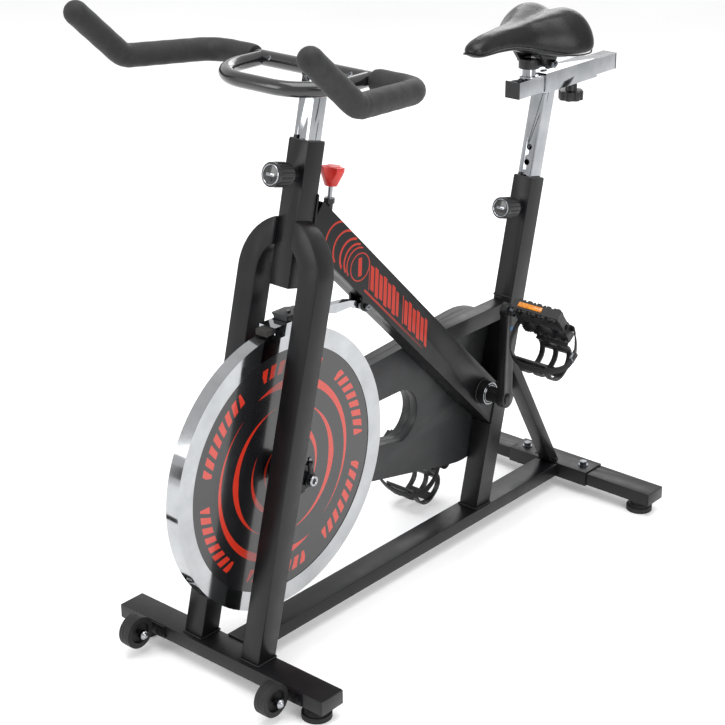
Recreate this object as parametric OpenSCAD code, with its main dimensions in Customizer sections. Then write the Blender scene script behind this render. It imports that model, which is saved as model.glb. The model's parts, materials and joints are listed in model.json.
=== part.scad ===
// Indoor cycling bike with a spoke-free flywheel, fixed chain drive and felt brake.
// Frame: +X is the rider's left, -Y is the front of the bike, +Z is up, the floor is z = 0.
// The origin is on the floor under the middle of the bike.

/* [Base] */
// Length of the front stabiliser bar across the bike
front_bar_length = 460; // [400:1:520]
// Place of the front stabiliser bar along the bike
front_bar_y = -473; // [-480:1:-466]
// Length of the rear stabiliser across the bike
rear_bar_length = 470; // [420:1:520]
// Place of the rear stabiliser along the bike
rear_bar_y = 464; // [459:1:469]
// Width of the stabiliser bars and of the base rail
bar_width = 50; // [46:1:54]
// Height of the stabiliser bars and of the base rail
bar_height = 25; // [23:1:27]
// Height of the levelling feet under the bars
foot_height = 25; // [22:1:30]
// Radius of the rubber pad of a foot
foot_radius = 25; // [20:1:28]
// Distance of the front feet from the middle
front_foot_x = 198; // [180:1:205]
// Distance of the rear feet from the middle
rear_foot_x = 202; // [180:1:208]

/* [Frame tubes] */
// Outer side of the square frame tubes
tube_side = 40; // [38:1:44]
// Wall of the frame tubes
tube_wall = 2; // [1.5:0.5:3]
// Lean of the head tube and the seat tube from upright
tube_lean = 13; // [12:0.5:14]
// Lean of the fork legs from upright
fork_lean = 14; // [13.5:0.5:14.5]
// Distance of the middle of each fork leg from the middle of the bike
fork_x = 65; // [63:1:67]
// Height above the floor of the top of the head tube
head_top_z = 861.5; // [855:0.5:870]
// Place along the bike of the top of the head tube
head_top_y = -260.5; // [-262:0.5:-259]
// Length of the head tube
head_length = 232; // [225:1:240]
// Height above the floor of the top of the seat tube
seat_top_z = 664; // [650:1:670]
// Place along the bike of the top of the seat tube
seat_top_y = 338.4; // [337:0.2:340]
// Depth of the main tube, seen from the side
main_depth = 68; // [64:1:72]
// Slope of the main tube, down towards the back
main_slope = 44.45; // [43.5:0.05:45.5]

/* [Drive] */
// Radius of the flywheel
flywheel_r = 241; // [225:1:243]
// Thickness of the flywheel rim
flywheel_t = 26; // [22:1:26]
// Distance of the middle of the flywheel to the left of the bike's middle
flywheel_x = 7; // [6:0.5:8]
// Place of the flywheel axle along the bike
axle_y = -347; // [-349:1:-345]
// Height of the flywheel axle
axle_z = 330.5; // [328:0.5:333]
// Place of the crank axle along the bike
crank_y = 187; // [185:1:189]
// Height of the crank axle
crank_z = 291.5; // [289:0.5:294]
// Length of a crank, axle to axle
crank_length = 172.5; // [160:2.5:175]
// Teeth on the chainring
chainring_teeth = 52; // [48:1:52]
// Teeth on the flywheel cog
cog_teeth = 16; // [14:1:16]
// Turn of the hanging pedals from level
pedal_turn = 127; // [110:1:130]

/* [Posts] */
// Outer side of the chromed posts and of the seat slider
post_side = 30; // [28:0.5:31]
// Spacing of the height holes in the posts
hole_pitch = 28; // [24:1:30]
// Height of the handlebar crossbar above the top of the head tube
bar_rise = 113.5; // [100:0.5:120]
// Height above the floor of the underside of the seat sleeve
sleeve_z = 819; // [815:1:825]
// Outer side of the square seat sleeve
sleeve_side = 36; // [35:0.5:38]

/* [Hidden] */

frame_black = "#26272a";
chrome = "#d6d8da";
plastic_black = "#1c1c1e";
rubber_black = "#222222";
zinc = "#b8bbbf";
signal_red = "#d8382c";

// Running clearance on the radius of every turning or sliding round fit
fit = 0.05;
// Gap between neighbours that must not touch
gap = 0.4;
// A length that reaches past anything it cuts
far = 2000;
$fn = 48;

half = tube_side / 2;
inner = half - tube_wall;
half_post = post_side / 2;
post_wall = 1.5;
head_pin_drop = 54;
seat_pin_drop = 57;
pin_r = 5;
bar_top = foot_height + bar_height;
rear_bar_height = 24;
sleeve_wall = 2.5;
rail_front_y = front_bar_y + bar_width / 2;
rear_sleeve_length = 185;
rear_sleeve_width = bar_width + 2 * sleeve_wall + gap;
rear_sleeve_height = rear_bar_height + 2 * sleeve_wall + gap;
rear_sleeve_z = foot_height + rear_bar_height / 2;
rail_rear_y = rear_bar_y - rear_sleeve_width / 2;

// Fork legs: the straight part ends at leg_bend_z along the lean, then bends in to the head tube
leg_foot_y = front_bar_y + 5.5;
leg_straight = 622;
leg_bend_r = 78;

// Main tube: a point on its middle line
main_mid_y = -54.5;
main_mid_z = 527;

// Brace and rear stay
brace_side = 30;
brace_z = 430.5;
stay_lean = 30;
stay_foot_y = rear_bar_y - 13;
stay_width = 30;
stay_depth = 20;

// Drive line
chain_x = -39;
chain_pitch = 12.7;
function pitch_radius(teeth) = chain_pitch / 2 / sin(180 / teeth);
chainring_r = pitch_radius(chainring_teeth);
cog_r = pitch_radius(cog_teeth);
axle_r = 7.5;
spindle_r = 8.5;
bb_r = 22;
bb_half = 34;
crank_x = 70;
crank_t = 15;
pedal_x = 147;
pedal_axle_r = 5;

// Chain guard: rear circle about the crank, a middle circle and a front circle about the axle
guard_rear_r = 149.5;
guard_rear_z = 286;
guard_mid = [-106, 307];
guard_mid_r = 107;
guard_front_r = 60;
guard_wall = 2;
guard_inner_x = -24;
guard_split_x = -42;
guard_outer_x = -59;

// Seat
sleeve_half = sleeve_side / 2;
sleeve_front_y = 356;
sleeve_length = 164;
sleeve_mid_z = sleeve_z + sleeve_half;
slider_front_y = 280;
slider_rear_y = 585;
cap_t = 3;
saddle_post_y = 327;
saddle_post_r = 12;
slider_top_z = sleeve_mid_z + half_post;
slider_knob_y = 463;

// Saddle
saddle_front_y = 144;
saddle_length = 272;
tilt_y = saddle_post_y + 24;
tilt_z = 877;

// Handlebar
bar_r = 12.5;
grip_r = 19;
bar_y = head_top_y + bar_rise * sin(tube_lean) - 8;
bar_z = head_top_z + bar_rise * cos(tube_lean);
ring_half = 110;
ring_depth = 127;
ring_corner_r = 80;
grip_start_x = 124;

// Brake
rod_lean = 9;
guide_y = -212.5;
guide_z = 738;
guide_r = 6.5;
rod_r = 4;
brake_hinge = [-146, 557];
brake_x = flywheel_x;
pad_gap = 3.5;

// Transport wheels
wheel_x = 156;
wheel_r = 28;
wheel_y = -532;
wheel_z = 42.5;
wheel_t = 22;

/* ---- helpers ---- */

// Places children in a frame whose +Z leans back by lean and whose origin is at (y, z)
module leaning(y, z, lean) {
  translate([0, y, z]) rotate([-lean, 0, 0]) children();
}

// Places children in the head tube's frame, with the origin at the top of the tube
module on_head() {
  leaning(head_top_y, head_top_z, tube_lean) children();
}

// Places children in the seat tube's frame, with the origin at the top of the tube
module on_seat() {
  leaning(seat_top_y, seat_top_z, tube_lean) children();
}

// Places children in the main tube's frame, where +Y runs down the tube
module on_main() {
  translate([0, main_mid_y, main_mid_z]) rotate([-main_slope, 0, 0]) children();
}

// Places children in the left fork leg's frame, with the origin at its foot
module on_fork() {
  translate([fork_x, leg_foot_y, bar_top]) rotate([-fork_lean, 0, 0]) children();
}

// Box given by its low and high corners
module box(low, high) {
  translate(low) cube(high - low);
}

// Cylinder along X from x0 to x1
module rod_x(x0, x1, r, y = 0, z = 0, facets = 48) {
  translate([x0, y, z]) rotate([0, 90, 0]) cylinder(h = x1 - x0, r = r, $fn = facets);
}

// Children and their mirror image across the middle of the bike
module both_sides() {
  children();
  mirror([1, 0, 0]) children();
}

// Points of an arc about centre c, radius r, from angle a0 to a1
function arc(c, r, a0, a1, steps) =
  [for (i = [0 : steps]) c + r * [cos(a0 + (a1 - a0) * i / steps), sin(a0 + (a1 - a0) * i / steps)]];

// Direction of the outer tangent's normal from circle (a, ra) to circle (b, rb), on the side s
function tangent_angle(a, ra, b, rb, s) =
  atan2(b[1] - a[1], b[0] - a[0]) - s * acos((ra - rb) / norm(b - a));

// Outline around two circles, as a belt
function belt(a, ra, b, rb, steps) =
  let (top = tangent_angle(a, ra, b, rb, 1), low = tangent_angle(a, ra, b, rb, -1))
  concat(arc(a, ra, low - 360, top, steps), arc(b, rb, top, low, steps));

// A 2D shape in (y, z), raised along X from x0 to x1
module slab_x(x0, x1) {
  translate([x0, 0, 0]) rotate([90, 0, 90]) linear_extrude(x1 - x0) children();
}

function unit(v) = v / norm(v);

// Path with its inner corners rounded to radius r
function rounded(path, r, steps) = concat(
  [path[0]],
  [for (i = [1 : len(path) - 2])
    let (a = unit(path[i - 1] - path[i]), b = unit(path[i + 1] - path[i]),
         turn = acos(a * b), reach = r / tan(turn / 2), mid = unit(a + b),
         centre = path[i] + mid * r / sin(turn / 2), from = path[i] + a * reach,
         to = path[i] + b * reach, sweep_angle = 180 - turn)
    for (k = [0 : steps])
      let (t = sweep_angle * k / steps, u = unit(from - centre), w = unit(to - centre),
           side = unit(w - u * (u * w)))
      centre + r * (u * cos(t) + side * sin(t))],
  [path[len(path) - 1]]
);

// Direction of a path at point i
function heading(path, i) =
  unit(path[min(i + 1, len(path) - 1)] - path[max(i - 1, 0)]);

// Side vectors carried along a path without twist
function carry(path, i, v) =
  let (h = heading(path, i), w = unit(v - h * (h * v)))
  i == len(path) - 1 ? [w] : concat([w], carry(path, i + 1, w));

// Round solid of radius r along a path
module tube_along(path, r, sides, up) {
  vecs = carry(path, 0, up);
  rings = len(path);
  points = [for (i = [0 : rings - 1]) for (k = [0 : sides - 1])
    let (u = vecs[i], v = cross(heading(path, i), u))
    path[i] + r * (u * cos(360 * k / sides) + v * sin(360 * k / sides))];
  walls = [for (i = [0 : rings - 2]) for (k = [0 : sides - 1])
    let (a = i * sides + k, b = i * sides + (k + 1) % sides) each
    [[a, a + sides, b], [b, a + sides, b + sides]]];
  first = [for (k = [0 : sides - 1]) k];
  last = [for (k = [sides - 1 : -1 : 0]) (rings - 1) * sides + k];
  polyhedron(points, concat([first], walls, [last]), convexity = 6);
}

// Square tube from z = z0 to z1 in the current frame
module square_tube(side, wall, z0, z1) {
  difference() {
    box([-side / 2, -side / 2, z0], [side / 2, side / 2, z1]);
    box([-side / 2 + wall, -side / 2 + wall, z0 - 1], [side / 2 - wall, side / 2 - wall, z1 + 1]);
  }
}

/* ---- base ---- */

// Hollow bar across the bike with holes for its two feet
module cross_bar(length, y, height, foot_x) {
  difference() {
    box([-length / 2, y - bar_width / 2, foot_height], [length / 2, y + bar_width / 2, foot_height + height]);
    box([-length, y - bar_width / 2 + tube_wall, foot_height + tube_wall],
        [length, y + bar_width / 2 - tube_wall, foot_height + height - tube_wall]);
    for (s = [-1, 1]) translate([s * foot_x, y, foot_height - 1]) cylinder(h = tube_wall + 2, r = pin_r + fit);
  }
}

module front_stabiliser() {
  color(frame_black) cross_bar(front_bar_length, front_bar_y, bar_height, front_foot_x);
}

module base_rail() {
  color(frame_black) difference() {
    box([-bar_width / 2, rail_front_y, foot_height], [bar_width / 2, rail_rear_y, bar_top]);
    box([-bar_width / 2 + tube_wall, rail_front_y - 1, foot_height + tube_wall],
        [bar_width / 2 - tube_wall, rail_rear_y + 1, bar_top - tube_wall]);
  }
}

module rear_sleeve() {
  color(frame_black) difference() {
    translate([0, rear_bar_y, rear_sleeve_z])
      cube([rear_sleeve_length, rear_sleeve_width, rear_sleeve_height], center = true);
    translate([0, rear_bar_y, rear_sleeve_z])
      cube([far, bar_width + gap, rear_bar_height + gap], center = true);
    for (s = [-1, 1]) translate([s * 68, rear_bar_y, rear_sleeve_z]) cylinder(h = 50, r = 4.2);
  }
}

module rear_bars() {
  color(frame_black) difference() {
    cross_bar(rear_bar_length, rear_bar_y, rear_bar_height, rear_foot_x);
    translate([0, rear_bar_y, rear_sleeve_z]) cube([60, far, far], center = true);
    for (s = [-1, 1]) translate([s * 68, rear_bar_y, rear_sleeve_z]) cylinder(h = 50, r = 4.2);
  }
}

// Plastic plug in the end of a bar: a flange over the end and a boss inside
module end_cap(x, y, height) {
  z0 = foot_height;
  box([x, y - bar_width / 2, z0], [x + 2, y + bar_width / 2, z0 + height]);
  box([x - 12, y - bar_width / 2 + tube_wall + 0.2, z0 + tube_wall + 0.2],
      [x, y + bar_width / 2 - tube_wall - 0.2, z0 + height - tube_wall - 0.2]);
}

module bar_end_caps() {
  color(plastic_black) both_sides() {
    end_cap(front_bar_length / 2, front_bar_y, bar_height);
    end_cap(rear_bar_length / 2, rear_bar_y, rear_bar_height);
  }
}

// Hex head with a washer, its seat at z = 0 and its shank below
module hex_bolt(across, head, shank_r, shank) {
  cylinder(h = head + 1.5, r = across / 2 / cos(30), $fn = 6);
  cylinder(h = 1.5, r = across * 0.75);
  translate([0, 0, -shank]) cylinder(h = shank, r = shank_r);
}

module frame_bolts() {
  sleeve_top = rear_sleeve_z + rear_sleeve_height / 2;
  color(zinc) for (s = [-1, 1]) translate([s * 68, rear_bar_y, sleeve_top]) hex_bolt(13, 7, 4, 14);
}

// Levelling foot: flared rubber pad with a threaded stud
module foot(x, y) {
  color(rubber_black) translate([x, y, 0]) {
    cylinder(h = 5, r = foot_radius);
    translate([0, 0, 5]) cylinder(h = 10, r1 = foot_radius - 1, r2 = 17);
    translate([0, 0, 15]) cylinder(h = foot_height - 15 - gap, r = 16);
    translate([0, 0, 10]) cylinder(h = foot_height + 2, r = pin_r);
  }
}

module front_left_foot() { foot(front_foot_x, front_bar_y); }
module front_right_foot() { foot(-front_foot_x, front_bar_y); }
module rear_left_foot() { foot(rear_foot_x, rear_bar_y); }
module rear_right_foot() { foot(-rear_foot_x, rear_bar_y); }

/* ---- frame ---- */

// Left fork leg: a straight square tube that bends in to the side of the head tube
module fork_leg() {
  color(frame_black) difference() {
    on_fork() {
      box([-half, -half, -20], [half, half, leg_straight]);
      translate([-leg_bend_r, 0, leg_straight]) rotate([90, 0, 0]) rotate_extrude(angle = 80, $fn = 96)
        translate([leg_bend_r - half, -half]) square([tube_side, tube_side]);
    }
    on_fork() box([-inner, -inner, 8], [inner, inner, leg_straight - 10]);
    box([-far, -far, -far], [far, far, bar_top]);
    on_head() box([-far, -far, -far], [half, far, far]);
  }
}

module left_fork_leg() { fork_leg(); }
module right_fork_leg() { mirror([1, 0, 0]) fork_leg(); }

// Threaded boss for a pop pin on the front of an upright tube
module pin_boss(drop) {
  translate([0, -half, -drop]) rotate([90, 0, 0]) cylinder(h = 11, r = 12, $fn = 6);
}

module pin_hole(length, drop) {
  translate([0, -half + tube_wall + 1, -drop]) rotate([90, 0, 0]) cylinder(h = length, r = pin_r + fit);
}

module head_tube() {
  color(frame_black) on_head() difference() {
    union() {
      square_tube(tube_side, tube_wall, -head_length, 0);
      box([-half, -half, -head_length], [half, half, -head_length + tube_wall]);
      pin_boss(head_pin_drop);
    }
    pin_hole(40, head_pin_drop);
  }
}

module seat_tube() {
  color(frame_black) difference() {
    on_seat() difference() {
      union() {
        square_tube(tube_side, tube_wall, -660, 0);
        pin_boss(seat_pin_drop);
      }
      pin_hole(40, seat_pin_drop);
    }
    box([-far, -far, -far], [far, far, bar_top]);
  }
}

module main_tube() {
  color(frame_black) difference() {
    on_main() difference() {
      box([-half, -300, -main_depth / 2], [half, 480, main_depth / 2]);
      box([-inner, -302, -main_depth / 2 + tube_wall], [inner, 482, main_depth / 2 - tube_wall]);
    }
    on_head() box([-far, -far, -far], [far, half, far]);
    on_seat() box([-far, -half, -far], [far, far, far]);
    rod_x(-50, 50, bb_r, crank_y, crank_z);
    brake_guide_bore(guide_r);
  }
}

module brace_tube() {
  color(frame_black) difference() {
    box([-brace_side / 2, -40, brace_z - brace_side / 2], [brace_side / 2, 400, brace_z + brace_side / 2]);
    box([-brace_side / 2 + tube_wall, -50, brace_z - brace_side / 2 + tube_wall],
        [brace_side / 2 - tube_wall, 410, brace_z + brace_side / 2 - tube_wall]);
    on_main() box([-far, -far, -far], [far, far, main_depth / 2]);
    on_seat() box([-far, -half, -far], [far, far, far]);
  }
}

module rear_stay() {
  color(frame_black) difference() {
    translate([0, stay_foot_y, rear_sleeve_z]) rotate([stay_lean, 0, 0]) difference() {
      box([-stay_width / 2, -stay_depth / 2, -60], [stay_width / 2, stay_depth / 2, 460]);
      box([-stay_width / 2 + tube_wall, -stay_depth / 2 + tube_wall, -61],
          [stay_width / 2 - tube_wall, stay_depth / 2 - tube_wall, 461]);
    }
    on_seat() box([-far, -far, -far], [far, half, far]);
    box([-far, -far, -far], [far, far, rear_sleeve_z + rear_sleeve_height / 2]);
  }
}

// Liner in the mouth of an upright tube, with a rim on top
module bushing() {
  difference() {
    union() {
      box([-inner + 0.1, -inner + 0.1, -44], [inner - 0.1, inner - 0.1, 0]);
      box([-half + 0.5, -half + 0.5, 0], [half - 0.5, half - 0.5, 2]);
      box([-12, -half + 0.5, 0], [-6, -half + 3, 7]);
    }
    box([-half_post - 0.15, -half_post - 0.15, -60], [half_post + 0.15, half_post + 0.15, 20]);
  }
}

module tube_bushings() {
  color(plastic_black) {
    on_head() bushing();
    on_seat() bushing();
  }
}

/* ---- flywheel ---- */

// Plates behind the fork legs that hold the flywheel axle
module dropout_plates() {
  color(frame_black) both_sides() difference() {
    slab_x(fork_x - 8, fork_x - 2) difference() {
      union() {
        translate([axle_y, axle_z]) circle(r = 22);
        translate([axle_y - 60, axle_z - 26]) square([60, 52]);
      }
      translate([axle_y, axle_z]) circle(r = axle_r + 0.2);
    }
    on_fork() box([-far, -far, -far], [far, half, far]);
  }
}

module flywheel_axle() {
  color(zinc) {
    rod_x(-fork_x - 12, fork_x + 12, axle_r, axle_y, axle_z);
    both_sides() {
      rod_x(fork_x - 2, fork_x + 8, 13, axle_y, axle_z, 6);
      rod_x(fork_x - 16, fork_x - 8, 13, axle_y, axle_z, 6);
    }
  }
}

// Eye bolts that pull the axle back to tension the chain
module chain_tensioners() {
  color(zinc) both_sides() {
    difference() {
      union() {
        rod_x(fork_x + 8.2, fork_x + 11.5, 12, axle_y, axle_z);
        translate([fork_x + 9.85, axle_y, axle_z + 11]) cylinder(h = 24, r = 3);
      }
      rod_x(fork_x + 7, fork_x + 13, axle_r + 0.3, axle_y, axle_z);
      // leaves the axle nut free
      rod_x(fork_x + 5, fork_x + 8.15, 13.4, axle_y, axle_z);
    }
    translate([fork_x + 9.85, axle_y, axle_z + 27]) cylinder(h = 5, r = 6, $fn = 6);
  }
}

module flywheel_rim() {
  color(chrome) rod_ring(flywheel_r, 209, flywheel_x - flywheel_t / 2, flywheel_x + flywheel_t / 2);
}

// Ring about the flywheel axle
module rod_ring(r_out, r_in, x0, x1) {
  difference() {
    rod_x(x0, x1, r_out, axle_y, axle_z, 128);
    rod_x(x0 - 1, x1 + 1, r_in, axle_y, axle_z, 128);
  }
}

module flywheel_disc() {
  color("#303133") rod_ring(209, 34, flywheel_x + flywheel_t / 2 - 10, flywheel_x + flywheel_t / 2 - 1);
}

module flywheel_hub() {
  color(frame_black) difference() {
    union() {
      rod_x(chain_x + 3, 44, 22, axle_y, axle_z);
      rod_x(-44, 44, 16, axle_y, axle_z);
      rod_x(flywheel_x + flywheel_t / 2 - 11, flywheel_x + flywheel_t / 2, 34, axle_y, axle_z);
    }
    rod_x(-46, 46, axle_r + fit, axle_y, axle_z);
  }
}

// Outline of a toothed wheel: root, flank, tip and flank for every tooth
function teeth_outline(teeth, r) = [for (i = [0 : teeth - 1], k = [0 : 3])
  let (a = 360 / teeth * (i + [-0.2, 0.2, 0.42, 0.58][k]), q = k < 2 ? r - 4.5 : r - 1)
  [q * cos(a), q * sin(a)]];

// Toothed disc in the chain plane with a bore and, for a large ring, five round windows
module sprocket(teeth, y, z, bore, window_r) {
  r = pitch_radius(teeth);
  slab_x(chain_x - 1.5, chain_x + 1.5) translate([y, z]) difference() {
    polygon(teeth_outline(teeth, r));
    circle(r = bore);
    if (window_r > 0) for (i = [0 : 4]) rotate(72 * i) translate([0, r * 0.6]) circle(r = window_r);
  }
}

module flywheel_cog() {
  color(zinc) difference() {
    union() {
      sprocket(cog_teeth, axle_y, axle_z, 16, 0);
      rod_x(chain_x - 5, chain_x + 3, 22, axle_y, axle_z);
    }
    rod_x(chain_x - 10, chain_x + 10, 16, axle_y, axle_z);
  }
}

/* ---- crank ---- */

module bottom_bracket_shell() {
  color(frame_black) difference() {
    rod_x(-bb_half, bb_half, bb_r, crank_y, crank_z);
    rod_x(-bb_half - 1, bb_half + 1, bb_r - 3, crank_y, crank_z);
  }
}

module bottom_bracket_bearings() {
  color(chrome) both_sides() difference() {
    union() {
      rod_x(bb_half - 12, bb_half, bb_r - 3, crank_y, crank_z);
      rod_x(bb_half, bb_half + 2.5, bb_r - 1, crank_y, crank_z);
    }
    rod_x(bb_half - 15, bb_half + 5, spindle_r + fit, crank_y, crank_z);
  }
}

module crank_axle() {
  color(zinc) {
    rod_x(-crank_x, crank_x, spindle_r, crank_y, crank_z);
    both_sides() rod_x(bb_half + 3.5, crank_x - crank_t / 2, 14, crank_y, crank_z);
  }
}

// Crank arm on the side s, towards z when dir is 1 and down when it is -1
module crank_arm(s, dir) {
  x0 = s * crank_x - crank_t / 2;
  x1 = s * crank_x + crank_t / 2;
  color(frame_black) difference() {
    union() {
      rod_x(x0, x1, 17, crank_y, crank_z);
      rod_x(x0, x1, 14, crank_y, crank_z + dir * crank_length);
      slab_x(x0, x1) polygon([
        [crank_y - 13, crank_z], [crank_y + 13, crank_z],
        [crank_y + 11, crank_z + dir * crank_length], [crank_y - 11, crank_z + dir * crank_length]]);
    }
    rod_x(x0 - 1, x1 + 1, spindle_r, crank_y, crank_z);
    rod_x(x0 - 1, x1 + 1, pedal_axle_r, crank_y, crank_z + dir * crank_length);
  }
}

module left_crank() { crank_arm(1, 1); }
module right_crank() { crank_arm(-1, -1); }

module chainring() {
  color(zinc) sprocket(chainring_teeth, crank_y, crank_z, 14, 22);
}

// Chain as one closed loop around the chainring and the cog
module chain() {
  ring_c = [crank_y, crank_z];
  cog_c = [axle_y, axle_z];
  color("#5a554c") slab_x(chain_x - 3.5, chain_x + 3.5) difference() {
    polygon(belt(ring_c, chainring_r + 4, cog_c, cog_r + 4, 30));
    polygon(belt(ring_c, chainring_r + 0.4, cog_c, cog_r + 0.4, 30));
  }
}

module on_pedal(s) {
  translate([s * pedal_x, crank_y, crank_z + s * crank_length]) rotate([pedal_turn, 0, 0]) children();
}

module pedal_spindles() {
  color(zinc) for (s = [-1, 1]) {
    x0 = min(s * (crank_x - 8), s * (pedal_x + 46));
    x1 = max(s * (crank_x - 8), s * (pedal_x + 46));
    rod_x(x0, x1, pedal_axle_r, crank_y, crank_z + s * crank_length);
    rod_x(s > 0 ? 78 : -87, s > 0 ? 87 : -78, 9, crank_y, crank_z + s * crank_length, 6);
  }
}

// Platform pedal about its spindle: two toothed bars, end plates, ribs and a barrel
module pedal(s) {
  color(plastic_black) on_pedal(s) difference() {
    union() {
      for (e = [-1, 1]) {
        box([-50, e * 31 - 4, -9], [50, e * 31 + 4, 9]);
        for (i = [-2 : 2]) box([i * 20 - 4, e * 31 - 3, -12.5], [i * 20 + 4, e * 31 + 3, 12.5]);
        box([e * 47 - 3, -33, -8], [e * 47 + 3, 33, 8]);
        box([e * 18 - 2, -31, -6], [e * 18 + 2, 31, 6]);
      }
      rod_x(-50, 50, 10);
    }
    rod_x(-51, 51, pedal_axle_r + fit);
  }
}

module left_pedal() { pedal(1); }
module right_pedal() { pedal(-1); }

// Toe cage: a band that runs forward from the pedal, up and back over the toes, with windows
module toe_cage(s) {
  color(plastic_black) on_pedal(s) difference() {
    slab_x(-34, 34) difference() {
      polygon(concat(
        [[-35.2, -8], [-35.2, 8], [-38.5, 8], [-38.5, -1]],
        [[-57, 2]], arc([-71, 28], 24, -60, -180, 6), arc([-67, 40], 28, 175, 95, 6), [[-31, 66]],
        [[-31, 69.5]], arc([-67, 40], 31.5, 95, 175, 6), arc([-71, 28], 27.5, -180, -62, 6),
        [[-57, -1.5], [-38.5, -8]]));
    }
    box([-22, -96, 40], [-6, -50, 90]);
    box([6, -96, 40], [22, -50, 90]);
    box([-24, -110, 6], [-5, -80, 34]);
    box([5, -110, 6], [24, -80, 34]);
  }
}

module left_toe_cage() { toe_cage(1); }
module right_toe_cage() { toe_cage(-1); }

/* ---- chain guard ---- */

// Guard outline in (y, z), grown by g
module guard_outline(g) {
  c1 = [crank_y, guard_rear_z];
  c3 = [axle_y, axle_z];
  r1 = guard_rear_r + g;
  r2 = guard_mid_r + g;
  r3 = guard_front_r + g;
  top1 = tangent_angle(c1, r1, guard_mid, r2, 1);
  low1 = tangent_angle(c1, r1, guard_mid, r2, -1);
  top2 = tangent_angle(guard_mid, r2, c3, r3, 1);
  low2 = tangent_angle(guard_mid, r2, c3, r3, -1);
  polygon(concat(
    arc(c1, r1, low1 - 360, top1, 30), arc(guard_mid, r2, top1, top2, 2),
    arc(c3, r3, top2, low2, 12), arc(guard_mid, r2, low2, low1, 2)));
}

// The window through the guard, as a rounded slot grown by g
module guard_window(g) {
  polygon(concat(arc([0, 291], 50 + g, -84, 90, 16), arc([-56, 297], 44 + g, 90, 276, 16)));
}

// Half of the guard from x0 to x1, open on the split side, with a tunnel round the window
module guard_shell(x0, x1, hollow_x0, hollow_x1, shaft_r, hub_r) {
  difference() {
    union() {
      difference() {
        slab_x(x0, x1) guard_outline(0);
        slab_x(hollow_x0, hollow_x1) guard_outline(-guard_wall);
      }
      slab_x(x0, x1) guard_window(guard_wall);
    }
    slab_x(x0 - 1, x1 + 1) guard_window(0);
    rod_x(-90, 0, shaft_r, crank_y, crank_z);
    if (hub_r > 0) rod_x(-90, 0, hub_r, axle_y, axle_z);
  }
}

module guard_inner_shell() {
  color("#3a3b3d") guard_shell(guard_split_x, guard_inner_x, guard_split_x - 5, guard_inner_x - guard_wall, bb_r, 40);
}

// The outer shell stops behind the fork leg and its dropout plate
module guard_outer_shell() {
  color("#2e2f31") difference() {
    guard_shell(guard_outer_x, guard_split_x, guard_outer_x + guard_wall, guard_split_x + 5, 17, 0);
    box([-far, -far, -far], [far, axle_y + 30, far]);
  }
}

/* ---- seat ---- */

module seat_post() {
  color(chrome) {
    difference() {
      on_seat() difference() {
        square_tube(post_side, post_wall, -150, 220);
        for (i = [-3 : 4]) translate([0, -half_post + 3, -seat_pin_drop + i * hole_pitch])
          rotate([90, 0, 0]) cylinder(h = 6, r = pin_r + 0.6);
      }
      box([-far, -far, sleeve_z], [far, far, far]);
    }
    difference() {
      box([-sleeve_half, sleeve_front_y, sleeve_z],
          [sleeve_half, sleeve_front_y + sleeve_length, sleeve_z + sleeve_side]);
      box([-half_post - 0.4, -far, sleeve_mid_z - half_post - 0.4],
          [half_post + 0.4, far, sleeve_mid_z + half_post + 0.4]);
      translate([0, slider_knob_y, sleeve_z - 5]) cylinder(h = 10, r = pin_r + fit);
    }
  }
}

module seat_slider() {
  color(chrome) {
    difference() {
      box([-half_post, slider_front_y, sleeve_mid_z - half_post],
          [half_post, slider_rear_y, slider_top_z]);
      box([-half_post + post_wall, 0, sleeve_mid_z - half_post + post_wall],
          [half_post - post_wall, far, slider_top_z - post_wall]);
    }
    translate([0, saddle_post_y, slider_top_z - 1]) cylinder(h = tilt_z + 10 - slider_top_z, r = saddle_post_r);
    translate([0, saddle_post_y, slider_top_z]) cylinder(h = 3, r = 17);
  }
}

module slider_caps() {
  z0 = sleeve_mid_z - half_post;
  plug = half_post - post_wall - 0.2;
  color(plastic_black) for (y = [slider_front_y - cap_t, slider_rear_y]) {
    box([-half_post, y, z0], [half_post, y + cap_t, slider_top_z]);
    box([-plug, y < saddle_post_y ? y : y - 12, sleeve_mid_z - plug],
        [plug, y < saddle_post_y ? y + 15 : y + cap_t, sleeve_mid_z + plug]);
  }
}

// Knob under the sleeve with a scalloped grip
module slider_knob() {
  color(plastic_black) translate([0, slider_knob_y, 0]) {
    difference() {
      translate([0, 0, 785]) cylinder(h = 17, r = 23);
      for (i = [0 : 7]) rotate([0, 0, 45 * i]) translate([28.5, 0, 780]) cylinder(h = 30, r = 8);
    }
    translate([0, 0, 802]) cylinder(h = 12, r = 11);
    translate([0, 0, 802]) cylinder(h = sleeve_mid_z - half_post - gap - 802, r = pin_r);
  }
}

// Clamp about the round post, with a cross barrel for the tilt bolt behind it
module saddle_clamp() {
  color(rubber_black) difference() {
    union() {
      translate([0, saddle_post_y, tilt_z - 8]) cylinder(h = 17, r = 19);
      rod_x(-24, 24, 9, tilt_y, tilt_z);
      box([-15, saddle_post_y, tilt_z - 8], [15, tilt_y, tilt_z + 8]);
    }
    translate([0, saddle_post_y, tilt_z - 20]) cylinder(h = 60, r = saddle_post_r + fit);
    rod_x(-40, 40, 4 + fit, tilt_y, tilt_z);
  }
}

// Saddle sections: [share of length, half width, crown, rise of the two rear humps, edge, underside]
saddle_sections = [
  [0.00, 11, 932, 0, 926, 921], [0.03, 20, 942, 0, 926, 916], [0.10, 26, 948, 0, 927, 914],
  [0.22, 29, 951, 0, 928, 915], [0.36, 34, 953, 1, 926, 914], [0.50, 46, 954, 3, 918, 908],
  [0.64, 70, 958, 6, 910, 896], [0.77, 93, 963, 8, 907, 889], [0.88, 101, 966, 9, 908, 889],
  [0.96, 86, 962, 7, 914, 896], [1.00, 52, 949, 3, 922, 912]
];

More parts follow.
